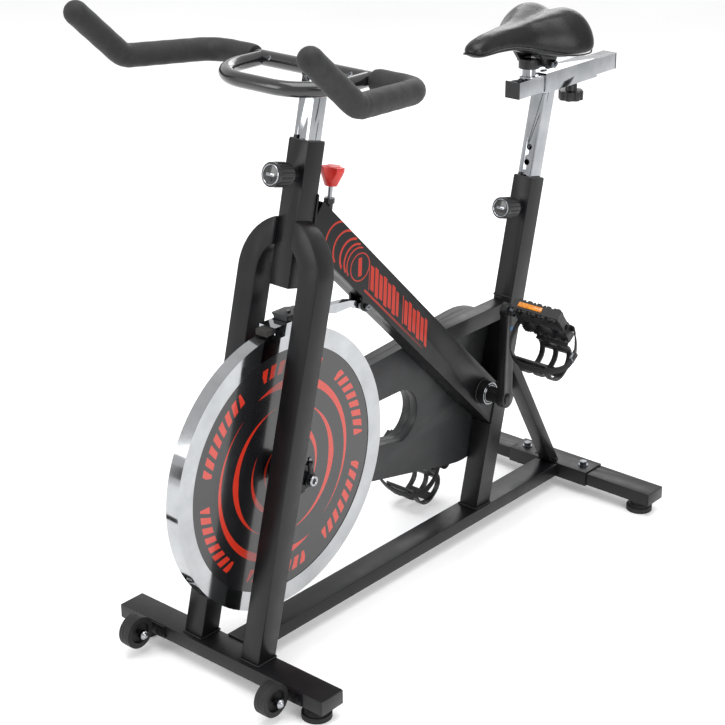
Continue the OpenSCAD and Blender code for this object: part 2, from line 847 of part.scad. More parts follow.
// Closed form lofted through the sections, with points round each one
module saddle_loft() {
  sides = 24;
  count = len(saddle_sections);
  points = [for (row = saddle_sections) for (k = [0 : sides - 1])
    let (a = 360 * k / sides, c = cos(a), s = sin(a), edge = row[4])
    [row[1] * c, saddle_front_y + saddle_length * row[0],
     s >= 0 ? edge + (row[2] - edge) * pow(s, 0.8) + row[3] * sin(180 * pow(abs(c), 1.2))
            : edge + (edge - row[5]) * s]];
  walls = [for (i = [0 : count - 2]) for (k = [0 : sides - 1])
    let (a = i * sides + k, b = i * sides + (k + 1) % sides) each
    [[a, a + sides, b], [b, a + sides, b + sides]]];
  first = [for (k = [0 : sides - 1]) k];
  last = [for (k = [sides - 1 : -1 : 0]) (count - 1) * sides + k];
  polyhedron(points, concat([first], walls, [last]), convexity = 4);
}

module saddle_cushion() {
  color("#2b2b2d") saddle_loft();
}

// Base under the cushion: ears that carry the tilt bolt and two rails under the shell
module saddle_base() {
  color(plastic_black) {
    rod_x(-34, 34, 4, tilt_y, tilt_z);
    both_sides() {
      slab_x(25, 31) polygon([
        [tilt_y - 9, tilt_z - 9], [tilt_y + 9, tilt_z - 9], [tilt_y + 24, 900], [tilt_y - 36, 900]]);
      rod_x(31, 36, 7, tilt_y, tilt_z, 6);
    }
  }
}

/* ---- handlebar ---- */

module handlebar_post() {
  color(chrome) difference() {
    on_head() difference() {
      square_tube(post_side, post_wall, -150, bar_rise - 8);
      for (i = [-3 : 1]) translate([0, -half_post + 3, -head_pin_drop + i * hole_pitch])
        rotate([90, 0, 0]) cylinder(h = 6, r = pin_r + 0.6);
    }
    rod_x(-50, 50, bar_r, bar_y, bar_z);
  }
}

// Path of the left arm of the bar, from the crossbar to the tip
horn = [[100, bar_y, bar_z], [212, bar_y, bar_z], [239, -417, 986], [236, -509, 1068]];
horn_steps = 6;
function horn_path(r1) = rounded(horn, r1, horn_steps);

// Half thickness of the ring's tube, a little under the crossbar's so that the joints are clean
ring_r = bar_r - 0.6;

module handlebar_tube() {
  corner_y = bar_y - ring_depth + ring_corner_r;
  left = horn_path(36);
  whole = concat([for (i = [len(left) - 1 : -1 : 0]) [-left[i][0], left[i][1], left[i][2]]], left);
  color("#18181a") {
    tube_along(whole, bar_r, 16, [0, 0, 1]);
    translate([0, 0, bar_z]) both_sides() {
      translate([ring_half - ring_corner_r, corner_y, 0]) rotate([0, 0, -90]) rotate_extrude(angle = 90, $fn = 96)
        translate([ring_corner_r, 0]) circle(r = ring_r, $fn = 32);
      translate([ring_half, bar_y, 0]) rotate([90, 0, 0]) cylinder(h = bar_y - corner_y, r = ring_r, $fn = 32);
    }
    translate([-(ring_half - ring_corner_r), bar_y - ring_depth, bar_z]) rotate([0, 90, 0])
      cylinder(h = 2 * (ring_half - ring_corner_r), r = ring_r, $fn = 32);
  }
}

module foam_grips() {
  skip = grip_start_x;
  core = rounded(horn, 36, horn_steps);
  outer = concat([core[0] + [grip_start_x - core[0][0], 0, 0]], [for (i = [1 : len(core) - 1]) core[i]]);
  color(rubber_black) both_sides() difference() {
    union() {
      tube_along(outer, grip_r, 16, [0, 0, 1]);
      translate(horn[3]) sphere(r = grip_r, $fn = 24);
    }
    tube_along(core, bar_r + 0.4, 16, [0, 0, 1]);
  }
}

/* ---- pop pins ---- */

// Spring pin through the boss, with a ribbed barrel grip and a disc on its outer end
module pop_pin() {
  rotate([90, 0, 0]) {
    translate([0, 0, half_post + gap]) cylinder(h = 48, r = pin_r);
    translate([0, 0, 31.5]) cylinder(h = 6.5, r = 8);
    difference() {
      translate([0, 0, 37]) cylinder(h = 34, r = 18.5);
      for (i = [0 : 15]) rotate([0, 0, 22.5 * i]) translate([20, 0, 36]) cylinder(h = 30, r = 2.2, $fn = 16);
    }
    translate([0, 0, 68]) cylinder(h = 5, r = 19.5);
  }
}

module head_pop_pin() {
  color(plastic_black) on_head() translate([0, 0, -head_pin_drop]) pop_pin();
}

module seat_pop_pin() {
  color(plastic_black) on_seat() translate([0, 0, -seat_pin_drop]) pop_pin();
}

/* ---- brake ---- */

// Places children on the brake rod, with the origin at the top of the guide
module on_rod() {
  leaning(guide_y, guide_z, rod_lean) children();
}

module brake_guide_bore(r) {
  on_rod() translate([0, 0, -160]) cylinder(h = 220, r = r);
}

// Threaded guide through the main tube, with a hexagonal collar on top
module brake_guide() {
  color(plastic_black) on_rod() difference() {
    union() {
      translate([0, 0, -100]) cylinder(h = 112, r = guide_r);
      translate([0, 0, 10]) cylinder(h = 7.5, r = 9.5, $fn = 6);
    }
    translate([0, 0, -120]) cylinder(h = 160, r = rod_r + fit);
  }
}

module brake_rod() {
  color(chrome) on_rod() {
    translate([0, 0, -150]) cylinder(h = 212, r = rod_r);
    translate([0, 0, -154]) cylinder(h = 6, r = 7, $fn = 6);
  }
}

// Soft three-lobed knob that widens upwards
module brake_knob() {
  color(signal_red) on_rod() difference() {
    union() {
      translate([0, 0, 38]) cylinder(h = 24, r1 = 10, r2 = 20);
      translate([0, 0, 62]) cylinder(h = 7, r = 20);
    }
    translate([0, 0, 30]) cylinder(h = 32 + gap, r = rod_r + fit);
    for (i = [0 : 2]) rotate([0, 0, 120 * i + 60]) translate([34, 0, 30]) cylinder(h = 60, r = 20);
  }
}

module brake_bracket() {
  y = brake_hinge[0];
  z = brake_hinge[1];
  color(frame_black) difference() {
    for (s = [-1, 1]) slab_x(brake_x + s * 13 - 2, brake_x + s * 13 + 2) union() {
      translate([y, z]) circle(r = 9);
      translate([y - 9, z]) square([22, 50]);
    }
    rod_x(-30, 40, 3, y, z);
    on_main() box([-far, -far, -main_depth / 2], [far, far, far]);
  }
  color(zinc) rod_x(brake_x - 18, brake_x + 18, 3, y, z);
}

// Arm from its hinge under the main tube to a channel over the rim
module brake_arm() {
  h_y = brake_hinge[0];
  h_z = brake_hinge[1];
  top_z = axle_z + flywheel_r;
  color(chrome) difference() {
    union() {
      rod_x(brake_x - 9, brake_x + 9, 8, h_y, h_z);
      slab_x(brake_x - 7, brake_x + 7) polygon([
        [h_y, h_z + 8], [h_y, h_z - 6], [h_y - 32, top_z - 9], [h_y - 67, top_z - 9],
        [h_y - 132, top_z + 10], [h_y - 132, top_z + 16], [h_y - 32, top_z + 3]]);
      box([brake_x - 17, axle_y - 20, top_z + 11], [brake_x + 17, axle_y + 76, top_z + 14]);
      for (x = [-17, 14.5]) slab_x(brake_x + x, brake_x + x + 2.5) polygon([
        [axle_y - 20, top_z + 14], [axle_y - 20, top_z + 2], [axle_y - 6, top_z - 6],
        [axle_y + 40, top_z - 6], [axle_y + 76, top_z + 11], [axle_y + 76, top_z + 14]]);
    }
    rod_x(-30, 40, 3 + fit, h_y, h_z);
  }
}

// Friction block with a curved face over the rim
module brake_pad() {
  top_z = axle_z + flywheel_r;
  color(rubber_black) difference() {
    box([brake_x - 12, axle_y - 34, top_z - 6], [brake_x + 12, axle_y + 16, top_z + 11]);
    rod_x(-30, 40, flywheel_r + pad_gap, axle_y, axle_z, 128);
  }
}

/* ---- transport wheels ---- */

module wheel_bracket(s) {
  x = s * wheel_x;
  front = front_bar_y - bar_width / 2;
  color(frame_black) {
    box([x - 16, front - 3, foot_height + 2], [x + 34, front, bar_top - 1]);
    slab_x(x - 16, x - 13) polygon(concat(
      [[front, foot_height + 2], [front, bar_top - 1]], arc([wheel_y, wheel_z], 12, 80, 260, 12)));
  }
  color(zinc) {
    rod_x(x - 16, x + 14, 4, wheel_y, wheel_z);
    rod_x(x + 10.4, x + 16, 8, wheel_y, wheel_z, 6);
    translate([x + 26, front - 3, wheel_z - 5]) rotate([90, 0, 0]) cylinder(h = 5, r = 7, $fn = 6);
  }
}

module wheel_brackets() {
  for (s = [-1, 1]) wheel_bracket(s);
}

module transport_wheel(s) {
  x = s * wheel_x;
  color(rubber_black) difference() {
    rod_x(x - 12, x + 10, wheel_r, wheel_y, wheel_z, 64);
    rod_x(x + 4, x + 11, 19, wheel_y, wheel_z);
    rod_x(x - 13, x + 11, 4 + fit, wheel_y, wheel_z);
  }
}

module left_wheel() { transport_wheel(1); }
module right_wheel() { transport_wheel(-1); }

front_stabiliser();
base_rail();
left_fork_leg();
right_fork_leg();
head_tube();
main_tube();
brace_tube();
seat_tube();
rear_stay();
rear_sleeve();
rear_bars();
bar_end_caps();
frame_bolts();
dropout_plates();
flywheel_axle();
chain_tensioners();
bottom_bracket_shell();
bottom_bracket_bearings();
guard_inner_shell();
guard_outer_shell();
chain();
brake_guide();
brake_bracket();
wheel_brackets();
tube_bushings();
flywheel_rim();
flywheel_disc();
flywheel_hub();
flywheel_cog();
crank_axle();
left_crank();
right_crank();
chainring();
pedal_spindles();
left_pedal();
right_pedal();
left_toe_cage();
right_toe_cage();
seat_post();
seat_slider();
slider_caps();
saddle_clamp();
saddle_base();
saddle_cushion();
slider_knob();
handlebar_post();
handlebar_tube();
foam_grips();
head_pop_pin();
seat_pop_pin();
brake_rod();
brake_knob();
brake_arm();
brake_pad();
left_wheel();
right_wheel();
front_left_foot();
front_right_foot();
rear_left_foot();
rear_right_foot();
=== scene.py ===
import bpy, json, math
from mathutils import Matrix, Vector


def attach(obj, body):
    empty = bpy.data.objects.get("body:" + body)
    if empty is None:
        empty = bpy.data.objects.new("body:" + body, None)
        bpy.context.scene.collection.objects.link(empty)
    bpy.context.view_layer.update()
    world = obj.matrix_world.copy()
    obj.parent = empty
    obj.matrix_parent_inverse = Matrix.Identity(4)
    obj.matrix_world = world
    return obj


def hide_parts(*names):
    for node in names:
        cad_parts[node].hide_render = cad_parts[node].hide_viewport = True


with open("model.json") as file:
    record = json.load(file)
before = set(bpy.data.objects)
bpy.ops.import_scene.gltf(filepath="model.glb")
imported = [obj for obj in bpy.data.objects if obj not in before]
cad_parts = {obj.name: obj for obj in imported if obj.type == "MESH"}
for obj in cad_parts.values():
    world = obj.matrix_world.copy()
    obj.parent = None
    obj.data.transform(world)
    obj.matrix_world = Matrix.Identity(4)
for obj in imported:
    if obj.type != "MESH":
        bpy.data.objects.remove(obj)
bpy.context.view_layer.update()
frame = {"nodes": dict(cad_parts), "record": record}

MM = 0.001
LEAN = math.radians(13)                  # both upright tubes lean back by this
UP = Vector((0, math.sin(LEAN), math.cos(LEAN)))
OUT = Vector((0, -math.cos(LEAN), math.sin(LEAN)))
HEAD = Vector((0, -260.5, 861.5))        # top of the head tube
SEAT = Vector((0, 338.4, 664))           # top of the seat tube
AXLE = Vector((0, -347, 330.5))
CRANK = Vector((0, 187, 291.5))
CRANK_ARM = 172.5
PEDAL_X = 147                            # the pedals' middle, from the bike's
PEDAL_TURN = math.radians(127)
SLOPE = math.radians(44.45)              # the main tube falls by this towards the cranks
MAIN = Vector((0, -54.5, 527))
BAR_RISE = 113.5                         # from the head tube's top, up the post to the crossbar
BAR_Y = HEAD.y + BAR_RISE * math.sin(LEAN) - 8
BAR_Z = HEAD.z + BAR_RISE * math.cos(LEAN)
FLYWHEEL_R = 241
WHEEL_TOP = AXLE.z + FLYWHEEL_R
ROLLER = Vector((156, -532, 42.5))       # the left transport wheel
SIDES = ((1, "left"), (-1, "right"))


# ---------------------------------------------------------------- finishes

def linear(code):
    """An sRGB colour such as #1e1e1f, as linear RGBA"""
    parts = [int(code[i:i + 2], 16) / 255 for i in (1, 3, 5)]
    return tuple(p / 12.92 if p <= 0.04045 else ((p + 0.055) / 1.055) ** 2.4 for p in parts) + (1.0,)


def put(tree, kind, *inputs, **settings):
    """Adds a node: its inputs in order, each a value or an output, then its settings and named sockets"""
    made = tree.nodes.new("ShaderNode" + kind)
    wires = list(enumerate(inputs))
    for name, value in settings.items():
        if name.replace("_", " ") in made.inputs:
            wires.append((name.replace("_", " "), value))
        else:
            setattr(made, name, value)
    for key, value in wires:
        if isinstance(value, bpy.types.Node):
            value = value.outputs[0]
        if isinstance(value, bpy.types.NodeSocket):
            tree.links.new(value, made.inputs[key])
        elif value is not None:
            made.inputs[key].default_value = value
    return made


def finish(name, light, dark, patch, rough, spread, grain, depth, metal=0.0, coat=0.0, sheen=0.0, ior=None,
           gleam=0.5):
    """Two tones in patches, roughness that wanders by spread, and grain; patch, grain and depth are in mm"""
    made = bpy.data.materials.new(name)
    made.use_nodes = True
    tree = made.node_tree
    tree.nodes.clear()
    at = put(tree, "TexCoord").outputs["Object"]
    cloud = put(tree, "TexNoise", at, Scale=1000 / patch, Detail=4.0, Roughness=0.6)
    tone = put(tree, "MapRange", cloud, 0.32, 0.68, 0.0, 1.0)
    colour = put(tree, "Mix", tone, data_type="RGBA")
    colour.inputs[6].default_value = linear(dark)
    colour.inputs[7].default_value = linear(light)
    smudge = put(tree, "TexNoise", at, Scale=2600 / patch, Detail=5.0)
    gloss = put(tree, "MapRange", smudge, 0.3, 0.7, rough - spread, rough + spread)
    fine = put(tree, "TexNoise", at, Scale=1000 / grain, Detail=2.0)
    relief = put(tree, "Bump", Strength=0.6, Distance=depth * MM, Height=fine)
    skin = put(tree, "BsdfPrincipled", Base_Color=colour.outputs[2], Metallic=metal, Roughness=gloss,
               Coat_Weight=coat, Coat_Roughness=0.08, Sheen_Weight=sheen, Specular_IOR_Level=gleam,
               Normal=relief)
    if ior:
        skin.inputs["IOR"].default_value = ior
    skin.name = "skin"
    put(tree, "OutputMaterial", skin)
    return made


def paint_over(made, mask, colour):
    """Lays a second colour on a finish where mask is 1"""
    tree = made.node_tree
    skin = tree.nodes["skin"]
    under = skin.inputs["Base Color"].links[0].from_socket
    over = put(tree, "Mix", mask, data_type="RGBA")
    tree.links.new(under, over.inputs[6])
    over.inputs[7].default_value = linear(colour)
    tree.links.new(over.outputs[2], skin.inputs["Base Color"])


def away_from(tree, a, b):
    """The distance from a centre, from the two offsets from it"""
    squares = [put(tree, "Math", side, side, operation="MULTIPLY") for side in (a, b)]
    return put(tree, "Math", put(tree, "Math", *squares, operation="ADD"), 0.5, operation="POWER")


def any_of(tree, marks):
    """As much as the strongest of the marks"""
    most = marks[0]
    for mark in marks[1:]:
        most = put(tree, "Math", most, mark, operation="MAXIMUM")
    return most


# Polyester powder coat on steel: satin black, with the slight orange peel of baked powder.
# The peel is about 1 mm on the tube and is drawn at 2.5 mm so that it shows.
powder_coat = finish("powder_coat_satin_black", "#101012", "#0a0a0b", 90, 0.36, 0.06, 2.5, 0.05, ior=1.5,
                     gleam=0.3)
# Bright chrome plate on drawn steel: mirror-like, a little hazy in patches from polishing.
chrome_plate = finish("bright_chrome_plate", "#b0b2b5", "#979a9d", 60, 0.07, 0.03, 6, 0.006, metal=1.0)
# Machined and chromed flywheel rim: a touch lighter than the posts, with the same faint haze.
rim_chrome = finish("turned_chrome_rim", "#b6b8ba", "#a3a5a7", 70, 0.08, 0.03, 5, 0.006, metal=1.0)
# Zinc plate on bolts and nuts: greyer than chrome, with a soft blue-grey bloom.
zinc_plate = finish("zinc_plated_steel", "#7d8084", "#56595c", 8, 0.3, 0.08, 1.8, 0.03, metal=1.0)
# Vinyl sheet under clear lacquer on the flywheel's face: near-black and glossy.
face_sheet = finish("lacquered_black_face", "#19191b", "#131315", 120, 0.2, 0.04, 5, 0.01, coat=0.5)
# Injection-moulded ABS with a fine spark-eroded grain, dark grey and satin.
guard_abs = finish("moulded_abs_guard", "#202123", "#18191a", 110, 0.44, 0.05, 2.0, 0.06, ior=1.52, gleam=0.4)
# Glass-filled nylon: dry, slightly mottled black.
nylon = finish("glass_filled_nylon", "#1b1b1d", "#101012", 14, 0.4, 0.08, 2.2, 0.08, ior=1.53, gleam=0.4)
# Gloss black lacquer on the handlebar's bent tube.
bar_lacquer = finish("gloss_black_lacquer", "#18181a", "#111113", 80, 0.18, 0.04, 4, 0.02, coat=0.6)
# Closed-cell NBR foam: matte, dark grey, with the small pits of its skin.
foam_rubber = finish("nbr_foam", "#1f1f20", "#161617", 22, 0.66, 0.06, 1.7, 0.22, sheen=0.05, gleam=0.4)
# Polyurethane-coated vinyl: fine leather grain, satin.
saddle_vinyl = finish("grained_pu_vinyl", "#0b0b0c", "#070708", 60, 0.28, 0.05, 2.2, 0.06, ior=1.5,
                      gleam=0.36)
# Soft-touch red polypropylene.
red_knob = finish("soft_touch_red", "#c62a22", "#ad211b", 16, 0.4, 0.05, 2.0, 0.04, ior=1.49)
# Black natural rubber: matte, a little grey where it has rubbed.
foot_rubber = finish("black_rubber", "#1f1f20", "#141415", 18, 0.6, 0.08, 2.0, 0.1, gleam=0.35)
# Felt and leather brake block: dull and fibrous.
brake_felt = finish("felt_brake_block", "#2e2c29", "#1e1d1b", 6, 0.85, 0.08, 1.8, 0.3)
# Oiled roller chain: brown-black side plates.
chain_steel = finish("oiled_chain_steel", "#6a6358", "#3b3833", 9, 0.34, 0.08, 2.0, 0.05, metal=1.0)
# Woven nylon webbing: dull black, with ribs.
webbing = finish("nylon_webbing", "#1d1d1f", "#111113", 5, 0.6, 0.06, 1.6, 0.3, gleam=0.3)
# Amber acrylic: glossy, with its moulded prisms drawn as a fine uneven relief.
amber = finish("amber_reflector", "#e0900f", "#a85a08", 4, 0.16, 0.05, 2.2, 0.3, coat=0.5)
# Blue paint mark left by the fitter on the crank.
blue_mark = finish("blue_paint_mark", "#2f86c4", "#1f6ea8", 3, 0.35, 0.05, 2, 0.05)

# The leather grain of the saddle: cells about 2.4 mm across with creases between them.
tree = saddle_vinyl.node_tree
cells = put(tree, "TexVoronoi", put(tree, "TexCoord").outputs["Object"], Scale=1000 / 2.4,
            feature="DISTANCE_TO_EDGE")
crease = put(tree, "MapRange", cells, 0.0, 0.12, 0.0, 1.0)
grain = put(tree, "Bump", Strength=0.35, Distance=0.15 * MM, Height=crease)
tree.links.new(tree.nodes["skin"].inputs["Normal"].links[0].from_socket, grain.inputs["Normal"])
tree.links.new(grain.outputs[0], tree.nodes["skin"].inputs["Normal"])

# The webbing's ribs: 2 mm apart on the real strap, and drawn wider so that they show.
# The wave node repeats every pi / 10 units at scale 1.
RIB = 3.946
tree = webbing.node_tree
ribs = put(tree, "TexWave", put(tree, "TexCoord").outputs["Object"], Scale=math.pi / 10 / (RIB * MM),
           bands_direction="Z")
weave = put(tree, "Bump", Strength=0.5, Distance=0.3 * MM, Height=ribs)
tree.links.new(weave.outputs[0], tree.nodes["skin"].inputs["Normal"])

# ---- graphics on the flywheel's face: paired red crescents and a ring of ticks about the axle
tree = face_sheet.node_tree
place = put(tree, "SeparateXYZ", put(tree, "TexCoord").outputs["Object"])
fy = put(tree, "Math", place.outputs[1], AXLE.y * MM, operation="SUBTRACT")
fz = put(tree, "Math", place.outputs[2], AXLE.z * MM, operation="SUBTRACT")
radius = away_from(tree, fy, fz)
around = put(tree, "Math", fz, fy, operation="ARCTAN2")
marks = []
# each pair of crescents: middle radius and greatest width in mm, start and span in degrees,
# drift of the radius in mm, and the share of the span at which it is widest
for mid, width, head, span, drift, peak in ((152, 17, 292, 165, -4, 0.16), (112, 13, 238, 142, 4, 0.45),
                                            (74, 9, 262, 120, 3, 0.4), (46, 6, 205, 95, 2, 0.4)):
    back = put(tree, "Math", math.radians(head), around, operation="SUBTRACT")
    share = put(tree, "Math", back, math.pi, operation="DIVIDE")
    turn = put(tree, "Math", put(tree, "Math", share, operation="FRACT"), 180 / span, operation="MULTIPLY")
    rise = put(tree, "MapRange", turn, 0.0, peak, 0.0, 1.0)
    fall = put(tree, "MapRange", turn, peak, 1.0, 1.0, 0.0)
    fullness = put(tree, "Math", rise, fall, operation="MULTIPLY")
    centre = put(tree, "Math", turn, drift * MM, mid * MM, operation="MULTIPLY_ADD")
    gap = put(tree, "Math", put(tree, "Math", radius, centre, operation="SUBTRACT"), operation="ABSOLUTE")
    reach = put(tree, "Math", fullness, width / 2 * MM, operation="MULTIPLY")
    marks.append(put(tree, "Math", gap, reach, operation="LESS_THAN"))
# six groups of slanted ticks between 171.5 and 192.5 mm from the axle, at sixty ticks to the turn
slant = put(tree, "Math", radius, 2.4, around, operation="MULTIPLY_ADD")
tick = put(tree, "Math", put(tree, "Math", put(tree, "Math", slant, 60 / 2 / math.pi, operation="MULTIPLY"),
                             operation="FRACT"), 0.62, operation="LESS_THAN")
group = put(tree, "Math", put(tree, "Math", put(tree, "Math", around, 6 / 2 / math.pi, operation="MULTIPLY"),
                              operation="FRACT"), 0.74, operation="LESS_THAN")
band = put(tree, "Math", radius, 0.182, 0.0105, operation="COMPARE")
grouped = put(tree, "Math", tick, group, operation="MULTIPLY")
marks.append(put(tree, "Math", grouped, band, operation="MULTIPLY"))
paint_over(face_sheet, any_of(tree, marks).outputs[0], "#bb2f1d")

# ---- graphics on the main tube's sides: five arcs, a ring with a bar, slanted bars and a line that fades
decal_coat = powder_coat.copy()
decal_coat.name = "powder_coat_with_print"
tree = decal_coat.node_tree
place = put(tree, "SeparateXYZ", put(tree, "TexCoord").outputs["Object"])
my = put(tree, "Math", place.outputs[1], MAIN.y * MM, operation="SUBTRACT")
mz = put(tree, "Math", place.outputs[2], MAIN.z * MM, operation="SUBTRACT")
down = put(tree, "Math", put(tree, "Math", my, math.cos(SLOPE), operation="MULTIPLY"),
           put(tree, "Math", mz, math.sin(SLOPE), operation="MULTIPLY"), operation="SUBTRACT")
across = put(tree, "Math", put(tree, "Math", my, math.sin(SLOPE), operation="MULTIPLY"),
             put(tree, "Math", mz, math.cos(SLOPE), operation="MULTIPLY"), operation="ADD")
from_ring = put(tree, "Math", down, -0.146, operation="SUBTRACT")
ring_r = away_from(tree, from_ring, across)
marks = []
# the arcs: centre along the tube, radius, line width and centre above the axis, in mm
for middle, r, thick, lift in ((-223, 33, 3.4, 5), (-199, 31, 3.6, 4), (-178, 29, 4.2, 3), (-164, 28, 3.6, 2),
                               (-154, 28, 2.6, 1)):
    along = put(tree, "Math", down, middle * MM, operation="SUBTRACT")
    aside = put(tree, "Math", across, lift * MM, operation="SUBTRACT")
    circle = put(tree, "Math", away_from(tree, along, aside), r * MM, thick / 2 * MM, operation="COMPARE")
    upper_end = put(tree, "Math", along, -0.3 * r * MM, operation="LESS_THAN")
    marks.append(put(tree, "Math", circle, upper_end, operation="MULTIPLY"))
ring = put(tree, "Math", ring_r, 0.0235, 0.001, operation="COMPARE")
leaning = put(tree, "Math", across, 0.9, from_ring, operation="MULTIPLY_ADD")
bar_in_ring = put(tree, "Math", put(tree, "Math", leaning, 0.0, 0.006, operation="COMPARE"),
                  put(tree, "Math", ring_r, 0.016, operation="LESS_THAN"), operation="MULTIPLY")
slide = put(tree, "Math", across, 0.88, down, operation="MULTIPLY_ADD")
bars = put(tree, "Math", put(tree, "Math", put(tree, "Math", slide, 1000 / 15.5, operation="MULTIPLY"),
                             operation="FRACT"), 0.74, operation="LESS_THAN")
first = put(tree, "Math", slide, -0.0605, 0.054, operation="COMPARE")
second = put(tree, "Math", slide, 0.0555, 0.047, operation="COMPARE")
bars = put(tree, "Math", bars, any_of(tree, [first, second]), operation="MULTIPLY")
notch = put(tree, "Math", put(tree, "Math", put(tree, "Math", slide, 1000 / 31.0, operation="MULTIPLY"),
                              operation="FRACT"), 0.5, operation="LESS_THAN")
half_height = put(tree, "Math", notch, 0.003, 0.016, operation="MULTIPLY_ADD")
level = put(tree, "Math", put(tree, "Math", across, 0.001, operation="SUBTRACT"), operation="ABSOLUTE")
bars = put(tree, "Math", bars, put(tree, "Math", level, half_height, operation="LESS_THAN"),
           operation="MULTIPLY")
line = put(tree, "Math", put(tree, "Math", across, -0.0235, 0.0018, operation="COMPARE"),
           put(tree, "Math", down, 0.0, 0.108, operation="COMPARE"), operation="MULTIPLY")
fade = put(tree, "MapRange", down, -0.1, 0.108, 0.85, 0.15)
line = put(tree, "Math", line, fade, operation="MULTIPLY")
outwards = put(tree, "Math", place.outputs[0], operation="ABSOLUTE")
side = put(tree, "Math", outwards, 0.0196, operation="GREATER_THAN")
red = put(tree, "Math", any_of(tree, marks + [ring, bar_in_ring, bars, line]), side, operation="MULTIPLY")
paint_over(decal_coat, red.outputs[0], "#a82a1a")

# ---- finishes on the parts of the frame, each where the real one has it
coats = {
    powder_coat: ("front_stabiliser", "base_rail", "left_fork_leg", "right_fork_leg", "head_tube",
                  "brace_tube", "seat_tube", "rear_stay", "rear_sleeve", "rear_bars", "dropout_plates",
                  "bottom_bracket_shell", "brake_bracket", "wheel_brackets", "left_crank", "right_crank",
                  "flywheel_hub", "crank_axle", "chain_tensioners", "bottom_bracket_bearings"),
    decal_coat: ("main_tube",),
    chrome_plate: ("seat_post", "seat_slider", "handlebar_post", "brake_rod", "brake_arm"),
    rim_chrome: ("flywheel_rim",),
    zinc_plate: ("frame_bolts", "flywheel_axle", "flywheel_cog", "chainring", "pedal_spindles"),
    face_sheet: ("flywheel_disc",),
    guard_abs: ("guard_inner_shell", "guard_outer_shell"),
    nylon: ("bar_end_caps", "tube_bushings", "left_pedal", "right_pedal", "left_toe_cage", "right_toe_cage",
            "slider_caps", "slider_knob", "head_pop_pin", "seat_pop_pin", "brake_guide", "saddle_base",
            "saddle_clamp"),
    bar_lacquer: ("handlebar_tube",), foam_rubber: ("foam_grips",), saddle_vinyl: ("saddle_cushion",),
    red_knob: ("brake_knob",), brake_felt: ("brake_pad",), chain_steel: ("chain",),
    foot_rubber: ("left_wheel", "right_wheel", "front_left_foot", "front_right_foot", "rear_left_foot",
                  "rear_right_foot"),
}
body_of = {node: body for body, nodes in frame["record"]["behaviour"]["bodies"].items() for node in nodes}
coat_of = {}
for coat, nodes in coats.items():
    for node in nodes:
        coat_of[node] = coat
        shape = frame["nodes"][node].data
        shape.materials.clear()
        shape.materials.append(coat)


# ---------------------------------------------------------------- shaping

def alone(piece):
    bpy.ops.object.select_all(action="DESELECT")
    piece.select_set(True)
    bpy.context.view_layer.objects.active = piece


def settle(piece):
    """Puts the origin at zero and the place in the mesh"""
    alone(piece)
    bpy.ops.object.transform_apply(location=True, rotation=True, scale=True)


def apply_all(piece):
    alone(piece)
    for modifier in list(piece.modifiers):
        bpy.ops.object.modifier_apply(modifier=modifier.name)


def soften(piece, width, steps=2, angle=35):
    """Rounds the edges sharper than angle, by width in mm"""
    round_edge = piece.modifiers.new("round_edge", "BEVEL")
    round_edge.width = width * MM
    round_edge.segments = steps
    round_edge.limit_method = "ANGLE"
    round_edge.angle_limit = math.radians(angle)
    round_edge.use_clamp_overlap = True
    round_edge.miter_outer = "MITER_ARC"
    apply_all(piece)


def done(piece, name, body, coat, angle=40):
    """Names a finished piece, coats it, shades it and lets it ride on its body"""
    settle(piece)
    piece.name = name
    piece.data.name = name
    piece.data.materials.clear()
    piece.data.materials.append(coat)
    alone(piece)
    bpy.ops.object.shade_smooth_by_angle(angle=math.radians(angle))
    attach(piece, body)
    return piece


def block(low, high, round_by=0.0, steps=2):
    """A squared block between two corners, in mm, with rounded edges"""
    low, high = Vector(low) * MM, Vector(high) * MM
    bpy.ops.object.select_all(action="DESELECT")
    bpy.ops.mesh.primitive_cube_add(size=1, location=(low + high) / 2)
    piece = bpy.context.active_object
    piece.scale = high - low
    settle(piece)
    if round_by:
        soften(piece, round_by, steps)
    return piece


def turned(profile, foot, along, steps=48):
    """A turned part: pairs of (radius, height) in mm spun in edit mode, stood at foot along a direction"""
    shape = bpy.data.meshes.new("turned")
    edges = [(i, i + 1) for i in range(len(profile) - 1)]
    shape.from_pydata([(r * MM, 0, h * MM) for r, h in profile], edges, [])
    piece = bpy.data.objects.new("turned", shape)
    bpy.context.scene.collection.objects.link(piece)
    alone(piece)
    bpy.ops.object.mode_set(mode="EDIT")
    bpy.ops.mesh.select_all(action="SELECT")
    bpy.ops.mesh.spin(steps=steps, angle=2 * math.pi, center=(0, 0, 0), axis=(0, 0, 1))
    bpy.ops.mesh.select_all(action="SELECT")
    bpy.ops.mesh.remove_doubles(threshold=0.00001)
    bpy.ops.mesh.normals_make_consistent(inside=False)
    bpy.ops.object.mode_set(mode="OBJECT")
    piece.rotation_mode = "QUATERNION"
    piece.rotation_quaternion = Vector((0, 0, 1)).rotation_difference(Vector(along))
    piece.location = Vector(foot) * MM
    settle(piece)
    return piece


